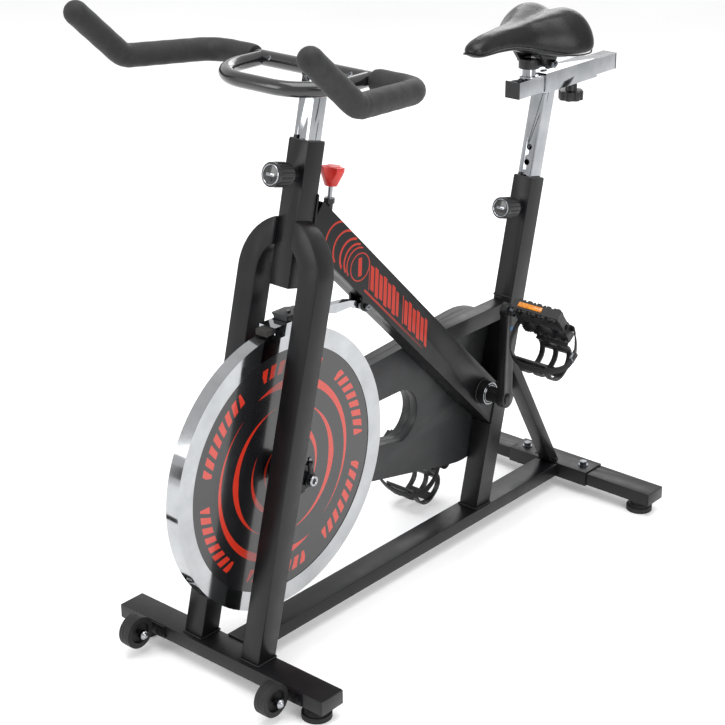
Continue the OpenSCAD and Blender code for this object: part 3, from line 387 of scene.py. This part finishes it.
def rod(points, radius, sides=16, closed=False, swell=None):
    """Round stock bent along points in mm, with swell as a share of the radius at each point"""
    path = bpy.data.curves.new("rod", "CURVE")
    path.dimensions = "3D"
    path.bevel_depth = radius * MM
    path.bevel_resolution = max(0, sides // 4 - 1)
    path.use_fill_caps = not closed
    run = path.splines.new("POLY")
    run.points.add(len(points) - 1)
    for i, point in enumerate(points):
        run.points[i].co = (*(Vector(point) * MM), 1)
        run.points[i].radius = swell[i] if swell else 1
    run.use_cyclic_u = closed
    piece = bpy.data.objects.new("rod", path)
    bpy.context.scene.collection.objects.link(piece)
    alone(piece)
    bpy.ops.object.convert(target="MESH")
    piece = bpy.context.active_object
    bpy.ops.object.mode_set(mode="EDIT")
    bpy.ops.mesh.select_all(action="SELECT")
    bpy.ops.mesh.remove_doubles(threshold=0.00001)
    bpy.ops.mesh.normals_make_consistent(inside=False)
    bpy.ops.object.mode_set(mode="OBJECT")
    return piece


def rounded(path, radius, steps=10):
    """The path with its corners rounded to a radius in mm"""
    out = [Vector(path[0])]
    for i in range(1, len(path) - 1):
        here = Vector(path[i])
        a, b = (Vector(path[i - 1]) - here).normalized(), (Vector(path[i + 1]) - here).normalized()
        half = a.angle(b) / 2
        centre = here + (a + b).normalized() * radius / math.sin(half)
        start, end = here + a * radius / math.tan(half), here + b * radius / math.tan(half)
        u, w = (start - centre).normalized(), (end - centre).normalized()
        side = (w - u * u.dot(w)).normalized()
        sweep = math.pi - 2 * half
        out += [centre + radius * (u * math.cos(sweep * k / steps) + side * math.sin(sweep * k / steps))
                for k in range(steps + 1)]
    return out + [Vector(path[-1])]


def strap(points, across, width, thick):
    """A closed loop of flat webbing along points, all in mm, with its width along across at each point"""
    verts = []
    for point, side in zip(points, across):
        point, side = Vector(point), Vector(side).normalized() * width / 2
        verts += [(point - side) * MM, (point + side) * MM]
    count = len(points)
    faces = [(2 * i, 2 * i + 1, 2 * i + 3, 2 * i + 2) for i in range(count - 1)]
    faces.append((2 * count - 2, 2 * count - 1, 1, 0))
    shape = bpy.data.meshes.new("strap")
    shape.from_pydata(verts, [], faces)
    piece = bpy.data.objects.new("strap", shape)
    bpy.context.scene.collection.objects.link(piece)
    wall = piece.modifiers.new("wall", "SOLIDIFY")
    wall.thickness = thick * MM
    wall.offset = 0
    apply_all(piece)
    soften(piece, 0.4, 1)
    return piece


def joined(pieces):
    bpy.ops.object.select_all(action="DESELECT")
    for piece in pieces:
        piece.select_set(True)
    bpy.context.view_layer.objects.active = pieces[0]
    bpy.ops.object.join()
    return bpy.context.active_object


def pick_ends(piece):
    """Goes into edit mode with only the faces that look along X selected"""
    alone(piece)
    bpy.ops.object.mode_set(mode="EDIT")
    bpy.ops.mesh.select_mode(type="FACE")
    bpy.ops.mesh.select_all(action="DESELECT")
    bpy.ops.object.mode_set(mode="OBJECT")
    for face in piece.data.polygons:
        face.select = abs(face.normal.x) > 0.9
    bpy.ops.object.mode_set(mode="EDIT")


def rounded_copy(node, width, steps=2, angle=35):
    """A copy of a frame part with its sharp edges rounded by width in mm; the plain one is hidden"""
    plain = frame["nodes"][node]
    piece = plain.copy()
    piece.data = plain.data.copy()
    piece.parent = None
    piece.matrix_world = plain.matrix_world.copy()
    for key in list(piece.keys()):
        del piece[key]
    bpy.context.scene.collection.objects.link(piece)
    alone(piece)
    bpy.ops.object.mode_set(mode="EDIT")
    bpy.ops.mesh.select_all(action="SELECT")
    bpy.ops.mesh.remove_doubles(threshold=0.00001)
    bpy.ops.mesh.dissolve_limited(angle_limit=math.radians(1))
    bpy.ops.object.mode_set(mode="OBJECT")
    soften(piece, width, steps, angle)
    done(piece, node + "_rounded", body_of[node], coat_of[node])
    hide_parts(node)
    return piece


# ---------------------------------------------------------------- camera and light

azimuth, rise_of_view, distance = math.radians(40.73), math.radians(22.87), 3.0063
aim = Vector((0, -0.130, 0.445))
away = Vector((math.sin(azimuth) * math.cos(rise_of_view), -math.cos(azimuth) * math.cos(rise_of_view),
               math.sin(rise_of_view)))
lens = bpy.data.cameras.new("view")
lens.lens = 88.05
lens.sensor_width = 36
viewer = bpy.data.objects.new("view", lens)
bpy.context.scene.collection.objects.link(viewer)
viewer.location = aim + away * distance
viewer.rotation_euler = ((-away).to_track_quat("-Z", "Y") @ Matrix.Rotation(math.radians(-0.12), 3, "Z")
                         .to_quaternion()).to_euler()
bpy.context.scene.camera = viewer
bpy.context.scene.view_settings.view_transform = "Standard"

room = bpy.data.worlds.new("room")
bpy.context.scene.world = room
room.use_nodes = True
room.node_tree.nodes["Background"].inputs[0].default_value = linear("#f6f6f7")
room.node_tree.nodes["Background"].inputs[1].default_value = 0.9


def lamp(name, place, target, size, power):
    light = bpy.data.lights.new(name, "AREA")
    light.shape = "RECTANGLE"
    light.size, light.size_y = size
    light.energy = power
    piece = bpy.data.objects.new(name, light)
    bpy.context.scene.collection.objects.link(piece)
    piece.location = place
    piece.rotation_euler = (Vector(target) - Vector(place)).to_track_quat("-Z", "Y").to_euler()


lamp("overhead", (0.3, -0.3, 3.4), (0, 0, 0.3), (2.6, 2.6), 75)
lamp("side", (3.2, -1.0, 1.9), (0, 0, 0.5), (1.6, 2.2), 38)
lamp("front", (-1.6, -3.4, 2.0), (0, -0.2, 0.5), (1.8, 1.8), 34)
lamp("rear", (-1.5, 3.0, 2.2), (0, 0, 0.5), (1.8, 1.8), 24)

bpy.ops.object.select_all(action="DESELECT")
bpy.ops.mesh.primitive_plane_add(size=40, location=(0, 0, -0.0005))
floor = bpy.context.active_object
floor.name = "floor"
# Matt white studio paper.
paper = finish("studio_paper", "#fafafa", "#f6f6f6", 900, 0.9, 0.02, 4, 0.01)
paper.node_tree.nodes["skin"].inputs["Emission Color"].default_value = (1, 1, 1, 1)
paper.node_tree.nodes["skin"].inputs["Emission Strength"].default_value = 0.12
floor.data.materials.append(paper)

# Dark cards that the chrome sees, out of the camera's sight.
card_paint = finish("black_card", "#141414", "#0e0e0e", 100, 0.9, 0.02, 5, 0.01)
for name, place, size, turn in (("card_seat", (0.9, 1.69, 0.27), (0.3, 0.24), (90, 0, 90)),
                                ("card_bar", (0.9, 0.74, 0.57), (0.12, 0.09), (90, 0, 90)),
                                ("card_rim_side", (-0.456, -1.01, 0.02), (0.14, 0.05), (0, 0, 20)),
                                ("card_rim_high", (-1.3, -2.12, 0.46), (0.34, 0.3), (90, 0, 32)),
                                ("card_back", (2.2, 1.4, 1.2), (0.35, 1.6), (90, 0, 60))):
    bpy.ops.object.select_all(action="DESELECT")
    bpy.ops.mesh.primitive_plane_add(size=1, location=place, rotation=[math.radians(t) for t in turn])
    card = bpy.context.active_object
    card.name = name
    card.scale = (size[0], size[1], 1)
    card.data.materials.append(card_paint)
    card.visible_camera = False
    card.visible_shadow = False
    card.visible_diffuse = False

# ---------------------------------------------------------------- frame parts with rounded edges

for node in ("front_stabiliser", "base_rail", "head_tube", "main_tube", "brace_tube", "seat_tube",
             "rear_stay", "rear_sleeve", "rear_bars"):
    rounded_copy(node, 1.8, 3)
for node in ("seat_post", "seat_slider", "handlebar_post"):
    rounded_copy(node, 0.95, 3)
for node, width in (("left_crank", 2.0), ("right_crank", 2.0), ("guard_outer_shell", 0.9),
                    ("guard_inner_shell", 0.9), ("slider_knob", 1.2), ("saddle_clamp", 1.2),
                    ("bar_end_caps", 0.9), ("brake_knob", 2.2), ("left_toe_cage", 0.8),
                    ("right_toe_cage", 0.8)):
    rounded_copy(node, width)
for node in ("left_fork_leg", "right_fork_leg"):
    rounded_copy(node, 1.8, 2, 50)


# ---------------------------------------------------------------- welds

def weld(corners, name, body="frame", radius=2.0):
    """A bead of weld along corners in mm, rippled as the torch moved"""
    points, swell = [], []
    for a, b in zip(corners, corners[1:]):
        a, b = Vector(a), Vector(b)
        count = max(2, round((b - a).length / 1.6))
        points += [a + (b - a) * k / count for k in range(count)]
    points.append(Vector(corners[-1]))
    swell = [1 + 0.16 * math.sin(2.1 * k) + 0.07 * math.sin(5.3 * k) for k in range(len(points))]
    return done(rod(points, radius, 8, swell=swell), name, body, powder_coat, 60)


def on_main(x, u, v):
    """A point at x, u down the main tube from its middle and v above its axis"""
    return Vector((x, MAIN.y + u * math.cos(SLOPE) + v * math.sin(SLOPE),
                   MAIN.z - u * math.sin(SLOPE) + v * math.cos(SLOPE)))


def on_tube(top, x, y, drop):
    """A point at x, y behind an upright tube's axis and drop below its top"""
    return top - UP * drop - OUT * y + Vector((x, 0, 0))


def meet(top, face, v):
    """How far down the main tube its line at height v meets the face of an upright tube"""
    run = Vector((0, math.cos(SLOPE), -math.sin(SLOPE)))
    start = on_main(0, 0, v)
    return ((top - OUT * face) - start).dot(OUT) / run.dot(OUT)


BEAD_X = 20.8                            # a bead lies this far out, along the side of a 40 mm tube
ROUND_A_FOOT = ((-1, -1), (1, -1), (1, 1), (-1, 1), (-1, -1))

# main tube to the back of the head tube and to the front of the seat tube
for label, top, face in (("head", HEAD, 20.6), ("seat", SEAT, -20.6)):
    ends = [on_main(a * BEAD_X, meet(top, face, b * 34.8), b * 34.8)
            for a, b in ((-1, -1), (-1, 1), (1, 1), (1, -1), (-1, -1))]
    weld(ends, "weld_main_to_" + label)
weld([(-BEAD_X, 268.5, 451), (BEAD_X, 268.5, 451)], "weld_brace_top")
for label, y in (("front", -448), ("rear", 437)):
    weld([(-20, y, 51.2), (20, y, 51.2)], "weld_rail_" + label, radius=1.8)
for s, label in SIDES:
    weld([(s * (65 + a * BEAD_X), -467.5 + b * 21.4, 51.0) for a, b in ROUND_A_FOOT], "weld_leg_" + label)
seat_foot = SEAT - UP * ((SEAT.z - 50) / UP.z)
weld([(a * BEAD_X, seat_foot.y + b * 21.4, 51.0) for a, b in ROUND_A_FOOT], "weld_seat_foot")
weld([(-26, 433, 61), (26, 433, 61)], "weld_stay_foot")
for s, label in SIDES:
    shell = [CRANK + Vector((s * 21.2, 23.2 * math.cos(a), 23.2 * math.sin(a)))
             for a in (math.radians(k) for k in range(60, 285, 8))]
    weld(shell, "weld_crank_shell_" + label, radius=1.8)

# ---------------------------------------------------------------- handlebar

horn = [(0, BAR_Y, BAR_Z), (212, BAR_Y, BAR_Z), (239, -417, 986), (236, -509, 1068)]
arm = rounded(horn, 40, 14)
whole = [Vector((-p.x, p.y, p.z)) for p in reversed(arm[1:])] + arm
bend = rounded([(-110, BAR_Y + 1, BAR_Z), (-110, BAR_Y - 127, BAR_Z), (110, BAR_Y - 127, BAR_Z),
                (110, BAR_Y + 1, BAR_Z)], 80, 20)
tube = joined([rod(whole, 12.45, 32), rod(bend, 12.0, 32)])
done(tube, "bent_bar", "handlebar", bar_lacquer, 50)
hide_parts("handlebar_tube")

# Foam sleeves: a straight end by the ring, and a domed tip.
for s, label in SIDES:
    run = [Vector((124, BAR_Y, BAR_Z))] + [p for p in arm if p.x > 130]
    fine = []
    for a, b in zip(run, run[1:]):
        count = max(1, round((b - a).length / 5))
        fine += [a + (b - a) * k / count for k in range(count)]
    fine.append(run[-1])
    tip = (fine[-1] - fine[-2]).normalized()
    dome = [fine[-1] + tip * 18.6 * math.sin(math.radians(t)) for t in range(12, 91, 13)]
    size = [0.9, 0.97] + [1 + 0.008 * math.sin(0.9 * k) for k in range(len(fine) - 2)]
    size += [max(0.02, math.cos(math.radians(t))) for t in range(12, 91, 13)]
    grip = rod([Vector((s * p.x, p.y, p.z)) for p in fine + dome], 18.9, 32, swell=size)
    done(grip, label + "_foam_sleeve", "handlebar", foam_rubber, 60)
    if s > 0:
        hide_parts("foam_grips")

# Two domed screws in the crossbar, and the welds before and behind the post's head.
for s, label in SIDES:
    screw = turned([(0, 0), (4.2, 0), (4.2, 0.5), (3.4, 1.5), (1.7, 1.8), (1.6, 0.7), (0, 0.7)],
                   (s * 84, BAR_Y - 10.4, BAR_Z + 5.0), (0, -0.9, 0.43), 24)
    done(screw, label + "_bar_screw", "handlebar", zinc_plate)
weld([(-15.6, BAR_Y - 9, BAR_Z - 9.5), (15.6, BAR_Y - 9, BAR_Z - 9.5)], "weld_bar_front", "handlebar", 1.8)
weld([(-15.6, BAR_Y + 12, BAR_Z - 6.5), (15.6, BAR_Y + 12, BAR_Z - 6.5)], "weld_bar_back", "handlebar", 1.8)

# ---------------------------------------------------------------- pop pins

for label, top, drop in (("head", HEAD, 54), ("seat", SEAT, 57)):
    base = top - UP * drop
    body = label + "_pop_pin"
    ring = turned([(14.6, 72.4), (14.6, 74.4), (15.2, 75.0), (16.4, 75.0), (17.0, 74.2), (17.0, 72.4),
                   (14.6, 72.4)], base, OUT, 64)
    done(ring, label + "_pin_face_ring", body, chrome_plate)
    inset = turned([(0, 72.8), (14.4, 72.8), (14.4, 73.4), (13.0, 74.0), (0, 74.0)], base, OUT, 48)
    done(inset, label + "_pin_face", body, bar_lacquer)
    mark = block((-8.6, -2.4, 73.6), (8.6, 2.4, 74.7), 0.5)
    mark.rotation_mode = "QUATERNION"
    mark.rotation_quaternion = Vector((0, 0, 1)).rotation_difference(OUT)
    mark.location = base * MM
    done(mark, label + "_pin_bar_mark", body, chrome_plate)
    ribs = []
    for k in range(16):
        a = math.radians(22.5 * k + 11.25)
        side = Vector((math.cos(a), 0, 0)) + UP * math.sin(a)
        ribs.append(rod([base + OUT * reach + side * r
                         for reach, r in ((40, 18.1), (42, 18.7), (65, 18.7), (66.5, 18.1))], 1.35, 8))
    done(joined(ribs), label + "_pin_grip_ribs", body, nylon)
    thread = []
    for k in range(6):
        z = 31.8 + k * 0.95
        thread += [(8.1, z), (9.0, z + 0.45)]
    thread = [(7.6, 31.6)] + thread + [(7.6, 37.4), (7.6, 31.6)]
    done(turned(thread, base, OUT, 40), label + "_pin_thread", body, chrome_plate)
    washer = turned([(6.4, 31.1), (11.2, 31.1), (12.4, 31.3), (12.4, 31.4), (6.4, 31.45), (6.4, 31.1)],
                    base, OUT, 6)
    done(washer, label + "_pin_washer", "frame", zinc_plate, 25)

# ---------------------------------------------------------------- saddle

# stations along the saddle: share of its length from the nose, half width, crown, hump, edge and underside
rows = [(0.00, 11, 932, 0, 926, 921), (0.03, 20, 942, 0, 926, 916), (0.10, 26, 948, 0, 927, 914),
        (0.22, 29, 951, 0, 928, 915), (0.36, 34, 953, 1, 926, 914), (0.50, 46, 954, 3, 918, 908),
        (0.64, 70, 958, 6, 910, 896), (0.77, 93, 963, 8, 907, 889), (0.88, 101, 966, 9, 908, 889),
        (0.96, 86, 962, 7, 914, 896), (1.00, 52, 949, 3, 922, 912)]


def between(share, column):
    """A smooth value along the saddle, through its stations"""
    i = max(k for k in range(len(rows) - 1) if rows[k][0] <= share or k == 0)
    x0, x1 = rows[i][0], rows[i + 1][0]
    y0, y1 = rows[i][column], rows[i + 1][column]
    def slope(k):
        if k <= 0 or k >= len(rows) - 1:
            return (rows[min(k + 1, len(rows) - 1)][column] - rows[max(k - 1, 0)][column]) / \
                   (rows[min(k + 1, len(rows) - 1)][0] - rows[max(k - 1, 0)][0])
        a = (rows[k][column] - rows[k - 1][column]) / (rows[k][0] - rows[k - 1][0])
        b = (rows[k + 1][column] - rows[k][column]) / (rows[k + 1][0] - rows[k][0])
        return 0 if a * b <= 0 else 2 * a * b / (a + b)
    t = (share - x0) / (x1 - x0)
    h = x1 - x0
    return ((2 * t ** 3 - 3 * t ** 2 + 1) * y0 + (t ** 3 - 2 * t ** 2 + t) * h * slope(i)
            + (3 * t ** 2 - 2 * t ** 3) * y1 + (t ** 3 - t ** 2) * h * slope(i + 1))


def saddle_skin(shrink, stations=72, sides=72):
    """The saddle's closed skin, shrunk inwards by shrink mm; its rear carries two humps and a valley"""
    verts = []
    for k in range(stations + 1):
        share = 0.5 - 0.5 * math.cos(math.pi * k / stations)
        half, crown, hump, edge, under = (between(share, c) for c in range(1, 6))
        half, crown = half - shrink, crown - shrink
        for j in range(sides):
            a = 2 * math.pi * j / sides
            c, s = math.cos(a), math.sin(a)
            if s >= 0:
                z = edge + (crown - edge) * s ** 0.8
                z += hump * math.sin(math.pi * abs(c) ** 1.2) * (1 + 0.35 * share)
                z -= 3.0 * max(0, share - 0.55) / 0.45 * math.exp(-(c / 0.16) ** 2) * s
            else:
                z = edge + (edge - under - shrink) * s
            verts.append((half * c * MM, (144 + shrink + (272 - 2 * shrink) * share) * MM, z * MM))
    faces = []
    for first in range(0, stations * sides, sides):
        for j in range(sides):
            on = (j + 1) % sides
            faces.append((first + j, first + on, first + sides + on, first + sides + j))
    faces += [tuple(range(sides)), tuple(stations * sides + j for j in reversed(range(sides)))]
    shape = bpy.data.meshes.new("saddle")
    shape.from_pydata(verts, [], faces)
    piece = bpy.data.objects.new("saddle", shape)
    bpy.context.scene.collection.objects.link(piece)
    alone(piece)
    bpy.ops.object.mode_set(mode="EDIT")
    bpy.ops.mesh.select_all(action="SELECT")
    bpy.ops.mesh.normals_make_consistent(inside=False)
    bpy.ops.object.mode_set(mode="OBJECT")
    return piece


def plump(piece, voxel, cap, pressure=4.0):
    """Lets the padding push its cover out under pressure, with no point moving further than cap mm"""
    alone(piece)
    remesh = piece.modifiers.new("remesh", "REMESH")
    remesh.mode = "VOXEL"
    remesh.voxel_size = voxel * MM
    bpy.ops.object.modifier_apply(modifier=remesh.name)
    rest = [v.co.copy() for v in piece.data.vertices]
    cloth = piece.modifiers.new("cover", "CLOTH")
    cloth.settings.use_pressure = True
    cloth.settings.uniform_pressure_force = pressure
    cloth.settings.effector_weights.gravity = 0
    cloth.settings.tension_stiffness = 25
    cloth.settings.compression_stiffness = 25
    cloth.settings.bending_stiffness = 1.5
    cloth.point_cache.frame_start, cloth.point_cache.frame_end = 1, 20
    scene = bpy.context.scene
    for step in range(1, 21):
        scene.frame_set(step)
    alone(piece)
    bpy.ops.object.modifier_apply(modifier=cloth.name)
    scene.frame_set(1)
    for v, was in zip(piece.data.vertices, rest):
        move = v.co - was
        if move.length > cap * MM:
            v.co = was + move.normalized() * cap * MM
    piece.data.update()
    return piece


cover = plump(saddle_skin(2.4), 4.5, 3.0)
smooth = cover.modifiers.new("smooth", "SMOOTH")
smooth.factor, smooth.iterations = 0.5, 3
finer = cover.modifiers.new("finer", "SUBSURF")
finer.levels = finer.render_levels = 1
apply_all(cover)
done(cover, "saddle_cover", "saddle", saddle_vinyl, 70)
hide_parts("saddle_cushion")

# Piping under the cover's edge, down one side and back up the other.
rim = []
for side in (1, -1):
    stations = [k / 40 for k in range(41)]
    for share in (stations if side > 0 else reversed(stations)):
        half, edge, under = between(share, 1), between(share, 4), between(share, 5)
        rim.append(Vector((side * (half - 3) * 0.94, 144 + 272 * (0.012 + 0.976 * share),
                           edge - (edge - under) * 0.45)))
done(rod(rim, 1.4, 8, closed=True), "saddle_piping", "saddle", nylon, 60)

# ---------------------------------------------------------------- seat carrier

# Oval plug in the top of the sleeve, just behind its mouth.
plug = turned([(0, 0), (6.2, 0), (6.2, 0.8), (5.2, 1.7), (0, 2.0)], (0, 0, 0), (0, 0, 1), 32)
plug.scale = (0.75, 1.35, 1)
plug.location = (0, 0.372, 0.8552)
done(plug, "sleeve_plug", "seat_post", nylon)
weld([(-15.5, 360, 818.2), (15.5, 360, 818.2)], "weld_sleeve_front", "seat_post", 1.6)
for s, label in SIDES:
    nut = turned([(0, 35.9), (7.6, 35.9), (7.6, 39.2), (6.6, 40.4), (3.4, 40.4), (3.4, 42.6), (2.6, 43.4),
                  (0, 43.4)], (0, 351, 877), (s, 0, 0), 6)
    done(nut, label + "_tilt_nut", "saddle", zinc_plate, 25)

# ---------------------------------------------------------------- brake

# The black cover over the arm's channel, with its two wings.
cover = block((7 - 15, -337, WHEEL_TOP + 14.3), (7 + 15, -291, WHEEL_TOP + 23))
pick_ends(cover)
bpy.ops.mesh.inset(thickness=0.0015)
bpy.ops.mesh.extrude_region_shrink_fatten(TRANSFORM_OT_shrink_fatten={"value": 0.011})
bpy.ops.transform.resize(value=(1, 0.7, 0.5))
bpy.ops.object.mode_set(mode="OBJECT")
soften(cover, 1.6, 3)
done(cover, "brake_arm_cover", "brake_arm", nylon)
for y, label in ((-318, "front"), (-300, "rear")):
    bolt = turned([(0, 0), (4.2, 0), (4.2, 2.6), (3.2, 3.4), (0, 3.4)], (7, y, WHEEL_TOP + 22.6),
                  (0, 0, 1), 6)
    done(bolt, label + "_brake_cover_bolt", "brake_arm", zinc_plate, 25)
for s, label in SIDES:
    nut = turned([(0, 17.6), (5.6, 17.6), (5.6, 21.6), (4.6, 22.6), (2.4, 22.6), (2.4, 24.2), (0, 24.2)],
                 (7, -146, 557), (s, 0, 0), 6)
    done(nut, label + "_hinge_nut", "frame", zinc_plate, 25)
# The knob's rounded crown and the washer under it.
lean = Vector((0, math.sin(math.radians(9)), math.cos(math.radians(9))))
foot = Vector((0, -212.5, 738))
crown = turned([(0, 68.6), (12.5, 68.6), (11.6, 69.8), (6.0, 70.6), (0, 70.8)], foot, lean, 48)
done(crown, "brake_knob_crown", "brake_knob", red_knob)
washer = turned([(4.6, 17.5), (8.4, 17.5), (8.4, 19.0), (4.6, 19.0), (4.6, 17.5)], foot, lean, 32)
done(washer, "brake_guide_washer", "frame", zinc_plate)

# ---------------------------------------------------------------- flywheel

# Lock rings on the axle's ends, each with a black disc in its hole as painted shade for the recess there, and
# the tips of the tensioner bolts.
for s, label in SIDES:
    ring = turned([(4.4, 77.1), (8.8, 77.1), (9.2, 78.0), (9.2, 83.6), (8.2, 84.8), (5.4, 84.8), (4.4, 83.8),
                   (4.4, 77.1)], (0, AXLE.y, AXLE.z), (s, 0, 0), 32)
    done(ring, label + "_axle_ring", "frame", chrome_plate)
    # A black disc sunk in the ring's hole: painted shade for the recess, not a black part of the axle.
    shade_disc = turned([(0, 77.1), (4.3, 77.1), (4.3, 82.6), (3.6, 83.2), (0, 83.2)], (0, AXLE.y, AXLE.z),
                  (s, 0, 0), 24)
    done(shade_disc, label + "_axle_shade_disc", "frame", powder_coat)
    tip = turned([(0, 35.0), (3.1, 35.0), (3.4, 36.0), (3.4, 38.4), (2.2, 39.8), (0, 40.0)],
                 (s * 74.85, AXLE.y, AXLE.z), (0, 0, 1), 20)
    done(tip, label + "_tensioner_tip", "frame", zinc_plate)
hub = turned([(16.2, 20.1), (31, 20.1), (33, 21.0), (33, 21.9), (29, 23.6), (20, 24.4), (16.2, 24.4),
              (16.2, 20.1)], (0, AXLE.y, AXLE.z), (1, 0, 0), 64)
done(hub, "hub_flange_ring", "flywheel", powder_coat)
bolts = []
for k in range(5):
    a = math.radians(72 * k + 18)
    foot = (0, AXLE.y + 25 * math.cos(a), AXLE.z + 25 * math.sin(a))
    bolts.append(turned([(0, 23.4), (3.4, 23.4), (3.4, 26.2), (2.6, 27.0), (1.6, 27.0), (1.5, 25.6),
                         (0, 25.6)], foot, (1, 0, 0), 12))
done(joined(bolts), "hub_flange_bolts", "flywheel", zinc_plate)

# ---------------------------------------------------------------- cranks and pedals

for s, label in SIDES:
    cap = turned([(0, 77.4), (9.5, 77.4), (9.5, 79.2), (8.0, 80.6), (0, 81.2)], (0, CRANK.y, CRANK.z),
                 (s, 0, 0), 40)
    done(cap, label + "_crank_cap", "crankset", nylon)
for s, label in SIDES:
    for inner, outer, low, part in ((19.2, 21.0, 36.3, "cup_lip"), (14.9, 16.2, 36.3, "seal_lip")):
        lip = turned([(inner, low), (inner, low + 0.9), (inner + 0.4, low + 1.3), (outer - 0.4, low + 1.3),
                      (outer, low + 0.9), (outer, low), (inner, low)], (0, CRANK.y, CRANK.z), (s, 0, 0), 48)
        done(lip, label + "_bearing_" + part, "frame", chrome_plate)
dot = turned([(0, 0), (4.6, 0), (4.2, 0.5), (0, 0.6)], (77.4, CRANK.y + 4, CRANK.z + 138), (1, 0, 0), 24)
done(dot, "blue_crank_mark", "crankset", blue_mark)


def on_pedal(s, x, y, z):
    """A point at x, y, z from a pedal's middle, in its own turned frame, in mm"""
    c, n = math.cos(PEDAL_TURN), math.sin(PEDAL_TURN)
    return Vector((s * PEDAL_X + x, CRANK.y + y * c - z * n, CRANK.z + s * CRANK_ARM + y * n + z * c))


for s, label in SIDES:
    turn = Matrix.Rotation(PEDAL_TURN, 4, "X")
    hold = Matrix.Translation(on_pedal(s, 0, 0, 0) * MM) @ turn
    near, far = sorted((-38 * s, 12 * s))
    for e, part, coat in ((1, "_reflector_rear", amber), (-1, "_pedal_bar_front", nylon)):
        plate = block((near, e * 35 - 1.8, -4.8), (far, e * 35 + 1.8, 4.8), 1.2)
        plate.matrix_world = hold
        done(plate, label + part, label + "_pedal", coat)
    # teeth along both bars, above and below
    teeth = []
    for e in (1, -1):
        for up in (1, -1):
            for k in range(-4, 5):
                teeth.append(turned([(0, 8.6), (2.9, 8.6), (2.6, 11.6), (1.7, 13.0), (0, 13.3)],
                                    (k * 10.6, e * 31, 0), (0, 0, up), 8))
    teeth = joined(teeth)
    teeth.matrix_world = hold
    done(teeth, label + "_pedal_teeth", label + "_pedal", nylon)
    # webbing loop: under the pedal, up outside its ends and over the front of the cage
    flat = [(-44, -12), (44, -12), (58, -4), (69, 14), (75, 36), (66, 58), (40, 71), (10, 76), (-22, 74),
            (-46, 62), (-58, 40), (-60, 16), (-55, -4)]
    loop = []
    for k in range(len(flat)):
        p0, p1, p2, p3 = (Vector(flat[(k + j) % len(flat)]) for j in (-1, 0, 1, 2))
        for t in (0, 0.2, 0.4, 0.6, 0.8):
            q = 0.5 * (2 * p1 + (p2 - p0) * t + (2 * p0 - 5 * p1 + 4 * p2 - p3) * t * t
                       + (3 * p1 - p0 - 3 * p2 + p3) * t ** 3)
            loop.append((s * q.x, -19 - 24 * max(0, q.y + 12) / 88, q.y))
    path = [on_pedal(s, *p) for p in loop]
    wide = [on_pedal(0, 0, 1, -0.28) - on_pedal(0, 0, 0, 0)] * len(path)
    belt = strap(path, wide, 13, 2.6)
    done(belt, label + "_toe_strap", label + "_pedal", webbing, 50)
    buckle = block((-2.2, -8, -9), (2.2, 8, 9), 0.8)
    pick_ends(buckle)
    bpy.ops.mesh.inset(thickness=0.0022)
    bpy.ops.mesh.extrude_region_shrink_fatten(TRANSFORM_OT_shrink_fatten={"value": -0.001})
    bpy.ops.object.mode_set(mode="OBJECT")
    buckle.matrix_world = Matrix.Translation(on_pedal(s, s * 73.4, -33, 34) * MM) @ turn
    done(buckle, label + "_strap_buckle", label + "_pedal", zinc_plate)

# ---------------------------------------------------------------- guard, wheels and feet

screws = []
for y, z in ((187, 418), (60, 404), (-80, 396), (-190, 366), (-150, 226), (-20, 190), (120, 160),
             (300, 230), (318, 330)):
    screws.append(turned([(0, 59.0), (4.6, 59.0), (4.4, 60.2), (2.8, 61.2), (1.2, 61.3), (1.1, 60.3),
                          (0, 60.3)], (0, y, z), (-1, 0, 0), 20))
done(joined(screws), "guard_screws", "frame", zinc_plate)

for s, label in SIDES:
    nut = turned([(0, 25.6), (3.0, 25.2), (5.6, 23.2), (6.6, 20.4), (8.2, 20.2), (8.2, 16.1), (0, 16.1)],
                 (s * ROLLER.x, ROLLER.y, ROLLER.z), (1, 0, 0), 32)
    done(nut, label + "_wheel_dome_nut", "frame", chrome_plate)
    tread = turned([(27.9, -7), (28.3, -6), (28.3, -2.4), (27.9, -1.6), (27.9, 0.2), (28.3, 1.0),
                    (28.3, 4.4), (27.9, 5.4), (27.0, 5.4), (27.0, -7), (27.9, -7)],
                   (s * ROLLER.x, ROLLER.y, ROLLER.z), (1, 0, 0), 64)
    done(tread, label + "_wheel_tread", label + "_wheel", foot_rubber)

for place, x, y in (("front_left", 198, -473), ("front_right", -198, -473), ("rear_left", 202, 464),
                    ("rear_right", -202, 464)):
    ring = turned([(21.4, 4.2), (25.0, 4.2), (25.0, 5.4), (24.4, 6.2), (24.4, 7.2), (25.0, 8.0), (25.0, 9.2),
                   (21.4, 9.2), (21.4, 4.2)], (x, y, 0), (0, 0, 1), 48)
    done(ring, place + "_foot_ring", place + "_foot", foot_rubber)
